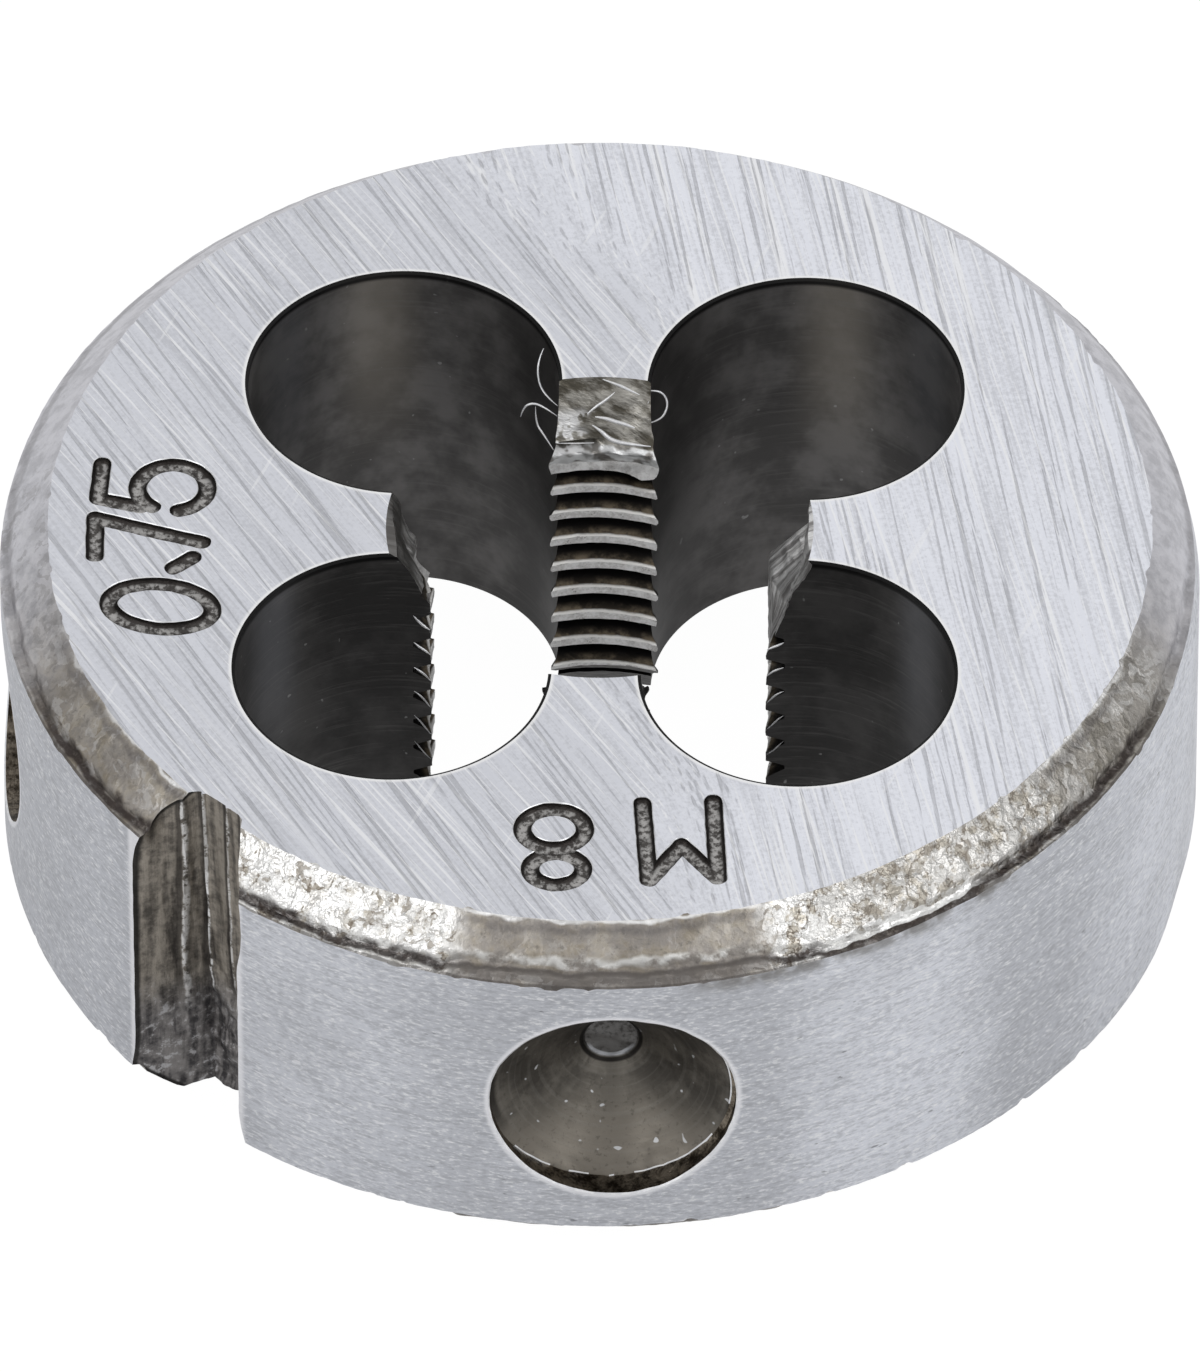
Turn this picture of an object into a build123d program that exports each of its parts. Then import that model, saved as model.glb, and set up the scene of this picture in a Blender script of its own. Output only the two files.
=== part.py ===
from build123d import *
import os
from math import radians, sqrt, tan

# Round threading die, M8 x 0.75, cut from one disc of tool steel.
# Millimetres. Z is the thread axis, the back face lies on z = 0 and the
# marked lead-in face is on top. The four cutting lands point along X and Y.

# Blank
DIE_DIAMETER = 25.0
DIE_THICKNESS = 9.0
RIM_CHAMFER = 1.0

# Thread
THREAD_MAJOR = 8.0
THREAD_PITCH = 0.75
THREAD_FLANK_ANGLE = 30.0
LEAD_RELIEF = 0.45
LEAD_HALF_ANGLE = 32.5

# Chip clearance holes round the bore
CHIP_HOLE_COUNT = 4
CHIP_HOLE_DIAMETER = 6.5
CHIP_HOLE_CIRCLE = 11.9
FIRST_CHIP_HOLE_ANGLE = 45.0

# Adjusting groove in the rim, and the screw seats beside it
GROOVE_ANGLE = -132.3
GROOVE_MOUTH_WIDTH = 3.0
GROOVE_TOP_DEPTH = 1.25
GROOVE_TOP_FLOOR_WIDTH = 1.13
GROOVE_BACK_DEPTH = 1.75
GROOVE_BACK_FLOOR_WIDTH = 1.65
LEFT_SEAT_SPREAD_ANGLE = 43.5
FRONT_SEAT_SPREAD_ANGLE = 45.0
SEAT_MOUTH_DIAMETER = 5.1
SEAT_MOUTH_DEPTH = 0.25
SEAT_CONE_ANGLE = 105.0
SEAT_PILOT_DIAMETER = 1.17

# How far each cutter runs past the surface that it starts from
OVERRUN = 1.0
THREAD_OVERRUN = 0.1

# Basic profile of the ISO metric thread: 5/8 of its full height H is cut
# away, which leaves a flat an eighth of the pitch wide at the major diameter
PROFILE_HEIGHT = THREAD_PITCH * sqrt(3) / 2
THREAD_MINOR = THREAD_MAJOR - 2 * 5 / 8 * PROFILE_HEIGHT
ROOT_FLAT = THREAD_PITCH / 8


def blank():
    """Turned disc with both rims chamfered. Its seam lies opposite the groove."""
    disc = extrude(Circle(DIE_DIAMETER / 2), DIE_THICKNESS)
    disc = Rot(0, 0, GROOVE_ANGLE + 180) * disc
    rims = disc.edges().filter_by(GeomType.CIRCLE)
    return chamfer(rims, RIM_CHAMFER)


def bore():
    """Bore at the thread's minor diameter, with a lead-in cone at each face."""
    mouth = THREAD_MAJOR / 2 + LEAD_RELIEF
    waist = THREAD_MINOR / 2
    lead_depth = (mouth - waist) / tan(radians(LEAD_HALF_ANGLE))
    flare = mouth + OVERRUN * tan(radians(LEAD_HALF_ANGLE))
    with BuildPart() as cutter:
        with BuildSketch(Plane.XZ):
            with BuildLine():
                Polyline(
                    (0, -OVERRUN),
                    (flare, -OVERRUN),
                    (waist, lead_depth),
                    (waist, DIE_THICKNESS - lead_depth),
                    (flare, DIE_THICKNESS + OVERRUN),
                    (0, DIE_THICKNESS + OVERRUN),
                    close=True,
                )
            make_face()
        revolve(axis=Axis.Z)
    return cutter.part


def thread():
    """Right-hand V groove wound along the whole bore, flat at the major diameter."""
    root = THREAD_MAJOR / 2
    inside = THREAD_MINOR / 2 - THREAD_OVERRUN
    root_half = ROOT_FLAT / 2
    inside_half = root_half + (root - inside) * tan(radians(THREAD_FLANK_ANGLE))
    start = -THREAD_PITCH
    section = Polyline(
        (inside, start - inside_half),
        (root, start - root_half),
        (root, start + root_half),
        (inside, start + inside_half),
        close=True,
    )
    path = Helix(THREAD_PITCH, DIE_THICKNESS + 2 * THREAD_PITCH, inside)
    return sweep(make_face(Plane.XZ * section), path=Pos(0, 0, start) * path, is_frenet=True)


def chip_holes():
    """Through holes that part the bore into cutting lands."""
    spots = PolarLocations(CHIP_HOLE_CIRCLE / 2, CHIP_HOLE_COUNT, FIRST_CHIP_HOLE_ANGLE)
    circles = Sketch() + [spot * Circle(CHIP_HOLE_DIAMETER / 2) for spot in spots]
    return extrude(Pos(0, 0, -OVERRUN) * circles, DIE_THICKNESS + 2 * OVERRUN)


def groove_section(height):
    """Outline of the adjusting groove at a height, drawn along X and open outwards."""
    share = height / DIE_THICKNESS
    depth = GROOVE_BACK_DEPTH + share * (GROOVE_TOP_DEPTH - GROOVE_BACK_DEPTH)
    floor_width = GROOVE_BACK_FLOOR_WIDTH + share * (GROOVE_TOP_FLOOR_WIDTH - GROOVE_BACK_FLOOR_WIDTH)
    floor_half = floor_width / 2
    floor = DIE_DIAMETER / 2 - depth
    mouth_half = GROOVE_MOUTH_WIDTH / 2
    mouth = sqrt((DIE_DIAMETER / 2) ** 2 - mouth_half**2)
    outside = DIE_DIAMETER / 2 + OVERRUN
    outside_half = floor_half + (outside - floor) * (mouth_half - floor_half) / (mouth - floor)
    section = Polyline(
        (floor, -floor_half),
        (outside, -outside_half),
        (outside, outside_half),
        (floor, floor_half),
        close=True,
    )
    return Pos(0, 0, height) * make_face(section)


def adjusting_groove():
    """Flat-floored groove down the rim, deeper and wider-floored at the back face."""
    sections = [groove_section(-OVERRUN), groove_section(DIE_THICKNESS + OVERRUN)]
    return Rot(0, 0, GROOVE_ANGLE) * loft(sections, ruled=True)


def screw_seat(angle):
    """Conical seat for a holder screw, at half thickness on the rim."""
    mouth = SEAT_MOUTH_DIAMETER / 2
    pilot = SEAT_PILOT_DIAMETER / 2
    rim = sqrt((DIE_DIAMETER / 2) ** 2 - mouth**2)
    cone_top = rim - SEAT_MOUTH_DEPTH
    cone_foot = cone_top - (mouth - pilot) / tan(radians(SEAT_CONE_ANGLE / 2))
    outside = DIE_DIAMETER / 2 + OVERRUN
    with BuildPart() as cutter:
        with BuildSketch(Plane.XZ):
            with BuildLine():
                Polyline(
                    (cone_foot, 0),
                    (cone_foot, pilot),
                    (cone_top, mouth),
                    (outside, mouth),
                    (outside, 0),
                    close=True,
                )
            make_face()
        revolve(axis=Axis.X)
    return Rot(0, 0, angle) * Pos(0, 0, DIE_THICKNESS / 2) * cutter.part


def die_body():
    """The whole die: the blank with each feature cut from it in turn."""
    cutters = [
        bore(),
        thread(),
        chip_holes(),
        adjusting_groove(),
        screw_seat(GROOVE_ANGLE - LEFT_SEAT_SPREAD_ANGLE),
        screw_seat(GROOVE_ANGLE + FRONT_SEAT_SPREAD_ANGLE),
    ]
    body = blank()
    for cutter in cutters:
        body = body.cut(cutter)
    return body


os.makedirs("parts", exist_ok=True)
export_step(die_body(), "parts/die_body.step")
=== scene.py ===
"""Finish, marks and studio of a round threading die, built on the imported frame.

The die is shaped in millimetres, like its drawing, and its mesh is brought to
metres at the end. Z is the thread axis, the marked face is on top and the
cutting lands point along X and Y.
"""
import math

import bmesh
import bpy
from bpy.props import FloatProperty, FloatVectorProperty, PointerProperty
from mathutils import Matrix, Vector, noise


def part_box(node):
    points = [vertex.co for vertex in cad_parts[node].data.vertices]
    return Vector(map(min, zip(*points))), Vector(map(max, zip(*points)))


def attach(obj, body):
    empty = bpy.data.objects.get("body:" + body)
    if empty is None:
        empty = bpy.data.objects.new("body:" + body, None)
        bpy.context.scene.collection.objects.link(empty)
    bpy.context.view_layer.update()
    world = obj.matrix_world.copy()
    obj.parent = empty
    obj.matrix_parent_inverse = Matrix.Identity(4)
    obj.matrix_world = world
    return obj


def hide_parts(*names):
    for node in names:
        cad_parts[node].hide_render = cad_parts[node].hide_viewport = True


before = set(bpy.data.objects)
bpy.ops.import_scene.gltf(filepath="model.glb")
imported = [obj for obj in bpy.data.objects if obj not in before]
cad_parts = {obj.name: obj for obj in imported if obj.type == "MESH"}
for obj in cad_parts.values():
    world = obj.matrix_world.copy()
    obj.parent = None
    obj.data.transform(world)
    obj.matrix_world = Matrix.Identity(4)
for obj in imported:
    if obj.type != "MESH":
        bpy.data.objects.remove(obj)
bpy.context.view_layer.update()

bl_info = {
    "name": "Round threading die",
    "version": (1, 0, 0),
    "blender": (4, 5, 0),
    "location": "3D View > Sidebar > Die",
    "description": "Shapes and finishes a round threading die on its packed frame",
    "category": "Object",
}

DIE_LOW, DIE_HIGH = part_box("die_body")
MM = 0.001
DIE_RADIUS = (DIE_HIGH[0] - DIE_LOW[0]) / 2 / MM
DIE_HEIGHT = (DIE_HIGH[2] - DIE_LOW[2]) / MM
OVERRUN = 1.0
THREAD_OVERRUN = 0.1
THREAD_FLANK_ANGLE = math.radians(30)
FULL_TURN = 2 * math.pi
# Angles past which an edge looks sharp: on the body, between two zones, and on a burr
BODY_EDGE = math.radians(32)
ZONE_EDGE = math.radians(12)
BURR_EDGE = math.radians(60)
FLOOR_SIZE = 2.0
FLOOR_GAP = 0.00001

# Zones of the surface, in the order of the body's material slots
ZONES = (
    "ground_face",
    "rim_scale",
    "ground_rim",
    "hole_wall",
    "thread_flank",
    "tooth_crest",
    "torn_lead",
    "groove_wall",
    "seat_cone",
    "seat_wall",
    "stamped_mark",
    "burnished_edge_highlight",
)
FACE, SCALE, RIM, HOLE, FLANK, CREST, LEAD, GROOVE, CONE, SEAT, MARK, EDGE = range(len(ZONES))


# ---------------------------------------------------------------- settings


def length_setting(name, description, default):
    """A length setting, in metres."""
    return FloatProperty(name=name, description=description, default=default, unit="LENGTH")


def angle_setting(name, description, degrees):
    """An angle setting, given in degrees."""
    default = math.radians(degrees)
    return FloatProperty(name=name, description=description, default=default, subtype="ANGLE")


def colour_setting(name, description, default):
    """A colour setting."""
    return FloatVectorProperty(
        name=name, description=description, default=default, subtype="COLOR", size=3
    )


class DieShape(bpy.types.PropertyGroup):
    """Sizes of the die, in metres."""

    rim_chamfer: length_setting("Rim chamfer", "Width of the 45 degree chamfer at both rims", 0.001)
    thread_major: length_setting("Thread diameter", "Major diameter of the thread", 0.008)
    thread_pitch: length_setting("Thread pitch", "Rise of the thread in one turn", 0.00075)
    lead_relief: length_setting(
        "Lead relief", "How far the lead-in mouth stands outside the major diameter", 0.00045
    )
    lead_half_angle: angle_setting(
        "Lead half angle", "Slope of the lead-in cone against the thread axis", 32.5
    )
    hole_diameter: length_setting("Chip hole diameter", "Diameter of each chip clearance hole", 0.0065)
    hole_circle: length_setting(
        "Chip hole circle", "Diameter of the circle through the chip holes' centres", 0.0119
    )
    groove_angle: angle_setting("Groove angle", "Where the adjusting groove lies round the rim", -132.3)
    groove_mouth: length_setting("Groove mouth width", "Width of the groove where it meets the rim", 0.003)
    groove_top_depth: length_setting(
        "Groove depth at the marked face", "Depth of the groove below the rim at the marked face", 0.00125
    )
    groove_top_floor: length_setting(
        "Groove floor at the marked face", "Width of the groove's flat floor at the marked face", 0.00113
    )
    groove_back_depth: length_setting(
        "Groove depth at the back face", "Depth of the groove below the rim at the back face", 0.00175
    )
    groove_back_floor: length_setting(
        "Groove floor at the back face", "Width of the groove's flat floor at the back face", 0.00165
    )
    left_seat_spread: angle_setting(
        "Left seat spread", "Angle from the groove to the left screw seat", 43.5
    )
    front_seat_spread: angle_setting(
        "Front seat spread", "Angle from the groove to the front screw seat", 45
    )
    seat_mouth: length_setting("Seat mouth diameter", "Diameter of each screw seat at the rim", 0.0051)
    seat_mouth_depth: length_setting("Seat mouth depth", "Depth of the straight part of each seat", 0.00025)
    seat_half_angle: angle_setting("Seat half angle", "Slope of the seat's cone against its own axis", 52.5)
    seat_pilot: length_setting(
        "Seat pilot diameter", "Diameter of the flat at the foot of each seat's cone", 0.00117
    )
    mark_stroke: length_setting("Mark stroke", "Width of a stamped stroke", 0.00038)


class DieFinish(bpy.types.PropertyGroup):
    """Colours of the die's surfaces."""

    ground: colour_setting("Ground steel", "Bright steel of the ground faces", (0.75, 0.765, 0.82))
    rim: colour_setting("Ground rim", "Steel of the cylindrical rim", (0.60, 0.615, 0.66))
    scale: colour_setting("Scale", "Brown-grey skin left on the chamfers", (0.43, 0.405, 0.37))
    dark: colour_setting("Hole wall", "Blackened wall of the chip holes", (0.094, 0.091, 0.090))


class DieStudio(bpy.types.PropertyGroup):
    """Lamps, floor and camera."""

    world_strength: FloatProperty(
        name="Dome light",
        description="Strength of the even light from all round",
        default=0.5,
    )
    back_lamp: FloatProperty(
        name="Back lamp",
        description="Power of the soft lamp behind the die",
        default=0.8,
        unit="POWER",
    )
    side_lamp: FloatProperty(
        name="Side lamps",
        description="Power of each soft lamp beside the camera",
        default=1.3,
        unit="POWER",
    )
    camera_elevation: angle_setting("Camera elevation", "Height of the camera above the horizon", 45.008)
    camera_azimuth: angle_setting("Camera azimuth", "Turn of the camera round the die", 1.5)
    camera_roll: angle_setting("Camera roll", "Tilt of the picture", -0.084)
    camera_distance: length_setting(
        "Camera distance", "Distance from the camera to the die's middle", 0.629
    )
    camera_rise: length_setting("Camera aim", "How far the camera aims below the die's middle", 0.000135)
    lens: FloatProperty(
        name="Lens",
        description="Focal length in millimetres",
        default=789.1,
    )


# ---------------------------------------------------------------- meshes


def mesh_object(bm, name):
    """Puts a finished bmesh into a new object and links it to the scene."""
    mesh = bpy.data.meshes.new(name)
    bm.to_mesh(mesh)
    bm.free()
    obj = bpy.data.objects.new(name, mesh)
    bpy.context.scene.collection.objects.link(obj)
    return obj


def divided(points, step):
    """The corners of an outline with points added, so that no run is longer than step."""
    result = [Vector(points[0])]
    for start, end in zip(points, points[1:]):
        start, end = Vector(start), Vector(end)
        parts = max(1, math.ceil((end - start).length / step))
        result += [start.lerp(end, i / parts) for i in range(1, parts + 1)]
    return result


def lathe(outline, steps):
    """A bmesh turned about Z from (radius, height) points. Its ends may lie on the axis."""
    bm = bmesh.new()
    verts = [bm.verts.new((radius, 0, height)) for radius, height in outline]
    edges = [bm.edges.new(pair) for pair in zip(verts, verts[1:])]
    bmesh.ops.spin(
        bm,
        geom=verts + edges,
        cent=(0, 0, 0),
        axis=(0, 0, 1),
        angle=FULL_TURN,
        steps=steps,
        use_merge=True,
    )
    bmesh.ops.remove_doubles(bm, verts=bm.verts, dist=1e-5)
    return bm


def turn_round(bm, matrix):
    """Turns a whole shape about the origin."""
    bmesh.ops.rotate(bm, verts=bm.verts, cent=(0, 0, 0), matrix=matrix)


def close(bm):
    """Fills the open rings of a turned or drawn shape and points its faces outwards."""
    rings = [edge for edge in bm.edges if edge.is_boundary]
    bmesh.ops.holes_fill(bm, edges=rings, sides=0)
    bmesh.ops.recalc_face_normals(bm, faces=bm.faces)


def paint(bm, zone):
    """Gives every face a zone; zone is one zone or a function of the face's middle."""
    for face in bm.faces:
        face.material_index = zone(face.calc_center_median()) if callable(zone) else zone


def carve(body, cutters):
    """Cuts each solid from the body in turn, keeping the cutters' zones, and removes them."""
    for cutter in cutters:
        cut = body.modifiers.new("Carve", "BOOLEAN")
        cut.operation = "DIFFERENCE"
        cut.solver = "MANIFOLD"
        cut.object = cutter
    graph = bpy.context.evaluated_depsgraph_get()
    mesh = bpy.data.meshes.new_from_object(body.evaluated_get(graph))
    body.modifiers.clear()
    old = body.data
    body.data = mesh
    bpy.data.meshes.remove(old)
    for cutter in cutters:
        bpy.data.objects.remove(cutter)


def grain(point, size, seed=0.0):
    """Smooth random value from -1 to 1, with bumps of the given size in millimetres."""
    return noise.noise(point / size + Vector((seed, seed * 1.7, seed * 0.3)))


def smooth(low, high, value):
    """0 below low, 1 above high and an even ramp between."""
    t = min(1.0, max(0.0, (value - low) / (high - low)))
    return t * t * (3 - 2 * t)


def bump(centre, width, value):
    """A rounded bump from 0 to 1 round centre, width on each side."""
    return 1 - smooth(0, width, abs(value - centre))


# ---------------------------------------------------------------- body

# Steps of each shape in a full turn
BLANK_STEPS = 960
BORE_STEPS = 420
THREAD_STEPS = 120
HOLE_STEPS = 192
SEAT_STEPS = 150
# Cuts along a chip hole's upright edges beside the lands
HOLE_CUTS = 110
FLAT_MARGIN = 0.45
CHAMFER_STEP = 0.065
RIM_STEP = 0.6
HAIR = 1e-4
# Distance from the middle plane past which a point is on the left or right land
SIDE_LAND = 2
# Height above which the crests of the teeth are worn
WORN_CREST = 6.8
# Azimuths, in degrees, between which the chamfer was hammered; its material paints these patches bright as
# painted highlight
HAMMERED = ((-128, -104), (-71, -38))


def hammered(point):
    """How strongly the chamfer is hammered here, from 0 to 1."""
    azimuth = math.degrees(math.atan2(point.y, point.x))
    return max(
        smooth(start - 4, start + 4, azimuth) * (1 - smooth(end - 5, end + 5, azimuth))
        for start, end in HAMMERED
    )


def middle_front(point):
    """1 on the front chamfer's smooth middle stretch, fading to 0 at its ends."""
    azimuth = math.degrees(math.atan2(point.y, point.x))
    return smooth(-105, -101, azimuth) * smooth(-69, -73, azimuth)


def chamfer_relief(point, along):
    """Height of the rough chamfer over its true cone; along runs from face to rim."""
    front = smooth(3.0, -3.0, point.y)
    right = smooth(4.0, 9.0, point.x) * smooth(2.0, -2.0, point.y)
    rough = max(hammered(point), 0.8 * right)
    slanted = point + Vector((point.z, point.z, 0)) * 0.7
    height = (0.010 + 0.008 * front) * grain(point, 0.6)
    height += 0.045 * rough * (0.3 - abs(grain(slanted, 0.34, 7)) * 1.4)
    height += 0.014 * rough * grain(slanted, 0.16, 8)
    place = along + 0.05 * grain(point, 0.8, 9) + 0.03 * grain(point, 0.2, 10)
    middle = 0.85 - 0.14 * middle_front(point)
    height -= (0.11 - 0.05 * middle_front(point)) * front * bump(middle, 0.15, place)
    height += 0.03 * front * bump(middle + 0.13, 0.08, place)
    return min(height, 0.03)


def edge_wander(point):
    """Sideways wander of the chamfer's two edges."""
    chip = smooth(0.35, 0.6, grain(point, 0.4, 11))
    return 0.02 * grain(point, 1.1, 13) + 0.012 * grain(point, 0.22, 17) - 0.05 * chip


def roughen_chamfers(bm, width):
    """Lifts and sinks the chamfers' vertices and lets their edges wander."""
    slope = math.sqrt(0.5)
    for vert in bm.verts:
        point = vert.co.copy()
        top = point.z > DIE_HEIGHT / 2
        depth = DIE_HEIGHT - point.z if top else point.z
        radius = math.hypot(point.x, point.y)
        if depth > width + HAIR or radius < DIE_RADIUS - width - HAIR:
            continue
        worn = smooth(7.0, 11.0, point.x + 0.6 * point.y) * smooth(-5.5, -2.5, point.y)
        along = (radius - (DIE_RADIUS - width)) / width
        outward = Vector((point.x, point.y, 0)) / radius
        up = Vector((0, 0, 1 if top else -1))
        if along < 1e-3:
            vert.co += outward * (edge_wander(point) / slope)
        elif along > 1 - 1e-3:
            vert.co += up * (edge_wander(point) / slope)
        else:
            vert.co += (outward + up) * slope * chamfer_relief(point, along)
        vert.co -= (outward + up) * 0.10 * worn * smooth(0.35, 1.0, along)


def blank(shape):
    """Turned disc whose chamfered rims are rough."""
    width = shape.rim_chamfer / MM
    edge = DIE_RADIUS - width
    flat = edge - FLAT_MARGIN
    below = divided([(flat, 0), (edge, 0)], FLAT_MARGIN)
    below += divided([(edge, 0), (DIE_RADIUS, width)], CHAMFER_STEP * 2.4)[1:]
    levels = (width + RIM_STEP, DIE_HEIGHT - width - RIM_STEP, DIE_HEIGHT - width)
    rim = [Vector((DIE_RADIUS, level)) for level in levels]
    above = divided([(DIE_RADIUS, DIE_HEIGHT - width), (edge, DIE_HEIGHT)], CHAMFER_STEP)[1:]
    above += divided([(edge, DIE_HEIGHT), (flat, DIE_HEIGHT)], FLAT_MARGIN)[1:]
    bm = lathe(below + rim + above, BLANK_STEPS)
    close(bm)

    def zone(middle):
        if middle.z < HAIR or middle.z > DIE_HEIGHT - HAIR:
            return FACE
        if width < middle.z < DIE_HEIGHT - width:
            return RIM
        return SCALE

    paint(bm, zone)
    roughen_chamfers(bm, width)
    return mesh_object(bm, "die_body_finished")


def worn_foot(point):
    """Height down to which the right land's lead-in is worn smooth."""
    return WORN_CREST - 2.0 * smooth(-0.9, -0.1, point.y)


def land_wear(point, mouth, waist, slope):
    """Extra depth of the lead-in on the left and right lands, whose cones are worn longer."""
    depth = DIE_HEIGHT - point.z
    if abs(point.x) < SIDE_LAND:
        return 0.0
    ends = 0.05 * smooth(0.6, 1.05, abs(point.y))
    if depth > 3.2:
        return ends
    if point.x < 0:
        reach = smooth(0.1, 1.2, depth) * (1 - smooth(1.9, 2.7, depth))
        behind = 0.36 * reach * smooth(-0.5, 0.4, point.y)
        proud = 0.17 * (1 - smooth(0.2, 1.3, depth)) * smooth(1.1, -0.6, point.y)
        return behind - proud + ends
    base = max(waist, mouth - slope * depth)
    front = max(0.0, mouth - 0.32 * depth - base)
    behind = max(0.0, mouth - 0.83 * max(0.0, depth - 0.7) - base)
    share = smooth(-0.5, 0.4, point.y)
    proud = 0.10 * max(0.0, 1 - (point.y / 1.05) ** 2) - 0.08 * smooth(0.0, -1.0, point.y)
    return front * (1 - share) + behind * share - proud * (1 - smooth(0.2, 1.2, depth)) + ends


def fold(point, size, seed):
    """Sharp-crested folds from 0 to 1, slanting across the lead-in cones."""
    slanted = point + Vector((point.z, 0, point.x)) * 0.5
    return max(0.0, 1 - 5 * abs(grain(slanted, size, seed))) ** 1.5


def minor_radius(shape):
    """Radius of the teeth's crests, five eighths of the sharp profile's height inside the major."""
    return shape.thread_major / MM / 2 - 5 / 8 * (shape.thread_pitch / MM) * math.sqrt(3) / 2


def bore(shape):
    """Cutter for the bore at the minor diameter, with a torn lead-in cone at each face."""
    waist = minor_radius(shape)
    mouth = shape.thread_major / MM / 2 + shape.lead_relief / MM
    slope = math.tan(shape.lead_half_angle)
    depth = (mouth - waist) / slope
    flare = mouth + OVERRUN * slope
    outline = [Vector((0, -OVERRUN)), Vector((flare, -OVERRUN))]
    outline += divided([(mouth, 0), (waist, depth)], 0.09)
    outline += divided([(waist, depth), (waist, WORN_CREST)], 0.12)[1:]
    outline += divided([(waist, WORN_CREST), (waist, DIE_HEIGHT - depth)], 0.06)[1:]
    outline += divided([(waist, DIE_HEIGHT - depth), (mouth, DIE_HEIGHT)], 0.055)[1:]
    outline += [Vector((flare, DIE_HEIGHT + OVERRUN)), Vector((0, DIE_HEIGHT + OVERRUN))]
    bm = lathe(outline, BORE_STEPS)
    bmesh.ops.recalc_face_normals(bm, faces=bm.faces)

    def zone(middle):
        foot = DIE_HEIGHT - depth - 0.25
        if middle.x > SIDE_LAND:
            foot = min(foot, worn_foot(middle))
        return CREST if depth < middle.z < foot else LEAD

    paint(bm, zone)
    for vert in bm.verts:
        point = vert.co.copy()
        radius = math.hypot(point.x, point.y)
        if radius < waist / 2 or not 0 <= point.z <= DIE_HEIGHT:
            continue
        outward = Vector((point.x, point.y, 0)) / radius
        top = smooth(DIE_HEIGHT - depth - 1.0, DIE_HEIGHT - depth, point.z)
        tear = (0.012 + 0.03 * top) * grain(point, 0.5, 2) + 0.014 * grain(point, 0.16, 4)
        if point.y > 2.5:
            crushed = smooth(7.0, 7.15, point.z) * (1 - smooth(7.70, 7.75, point.z))
            tear -= crushed * (0.05 + 0.06 * grain(point, 0.3, 51))
            tear += 0.2 * bump(7.80, 0.08, point.z) * (1 - smooth(-0.25, 0.0, point.x))
        else:
            tear -= (0.07 if abs(point.x) < SIDE_LAND else 0.03) * top * fold(point, 0.55, 12)
        tear *= 1 - 0.8 * smooth(DIE_HEIGHT - 0.15, DIE_HEIGHT, point.z)
        vert.co += outward * (tear + land_wear(point, mouth, waist, slope))
    return mesh_object(bm, "bore_cutter")


def tap(shape):
    """The thread's V groove as one solid wound round the axis, right handed."""
    pitch = shape.thread_pitch / MM
    root = shape.thread_major / MM / 2
    inside = minor_radius(shape) - THREAD_OVERRUN
    root_half = pitch / 16
    inside_half = root_half + (root - inside) * math.tan(THREAD_FLANK_ANGLE)
    section = [
        (inside, -inside_half),
        (root, -root_half),
        (root, root_half),
        (inside, inside_half),
    ]
    turns = DIE_HEIGHT / pitch + 2
    bm = bmesh.new()
    verts = [bm.verts.new((x, 0, z - pitch)) for x, z in section]
    edges = [bm.edges.new((verts[i], verts[i - 1])) for i in range(len(verts))]
    bmesh.ops.spin(
        bm,
        geom=verts + edges,
        cent=(0, 0, 0),
        axis=(0, 0, 1),
        dvec=(0, 0, pitch / THREAD_STEPS),
        angle=turns * FULL_TURN,
        steps=int(turns * THREAD_STEPS),
    )
    close(bm)
    paint(bm, FLANK)
    for vert in bm.verts:
        point = vert.co.copy()
        radius = math.hypot(point.x, point.y)
        outward = Vector((point.x, point.y, 0)) / radius
        centre = pitch * math.atan2(point.y, point.x) / FULL_TURN
        offset = (point.z - centre + pitch / 2) % pitch - pitch / 2
        centre = point.z - offset
        back = point.y > 2.6
        right_foot = worn_foot(point) + 0.1 if point.x > 2.6 else DIE_HEIGHT
        if centre > (7.4 if back else right_foot):
            vert.co -= outward * 0.75
            continue
        if back and centre > 6.7:
            # the crushed tooth hangs over the groove below it
            sag = 0.10 + 0.20 * bump(0.78, 0.42, point.x)
            near = smooth(-inside_half, inside_half, offset)
            vert.co.z -= sag * near
        elif radius > root - 0.05:
            crushed = smooth(DIE_HEIGHT - 2.3, DIE_HEIGHT - 1.9, point.z)
            vert.co -= outward * crushed * (0.12 + 0.2 * smooth(-0.3, 0.5, grain(point, 0.6, 6)))
        vert.co += outward * 0.015 * grain(point, 0.3, 8)
        vert.co.z += 0.016 * grain(point, 0.35, 10)
    return mesh_object(bm, "tap_cutter")


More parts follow.
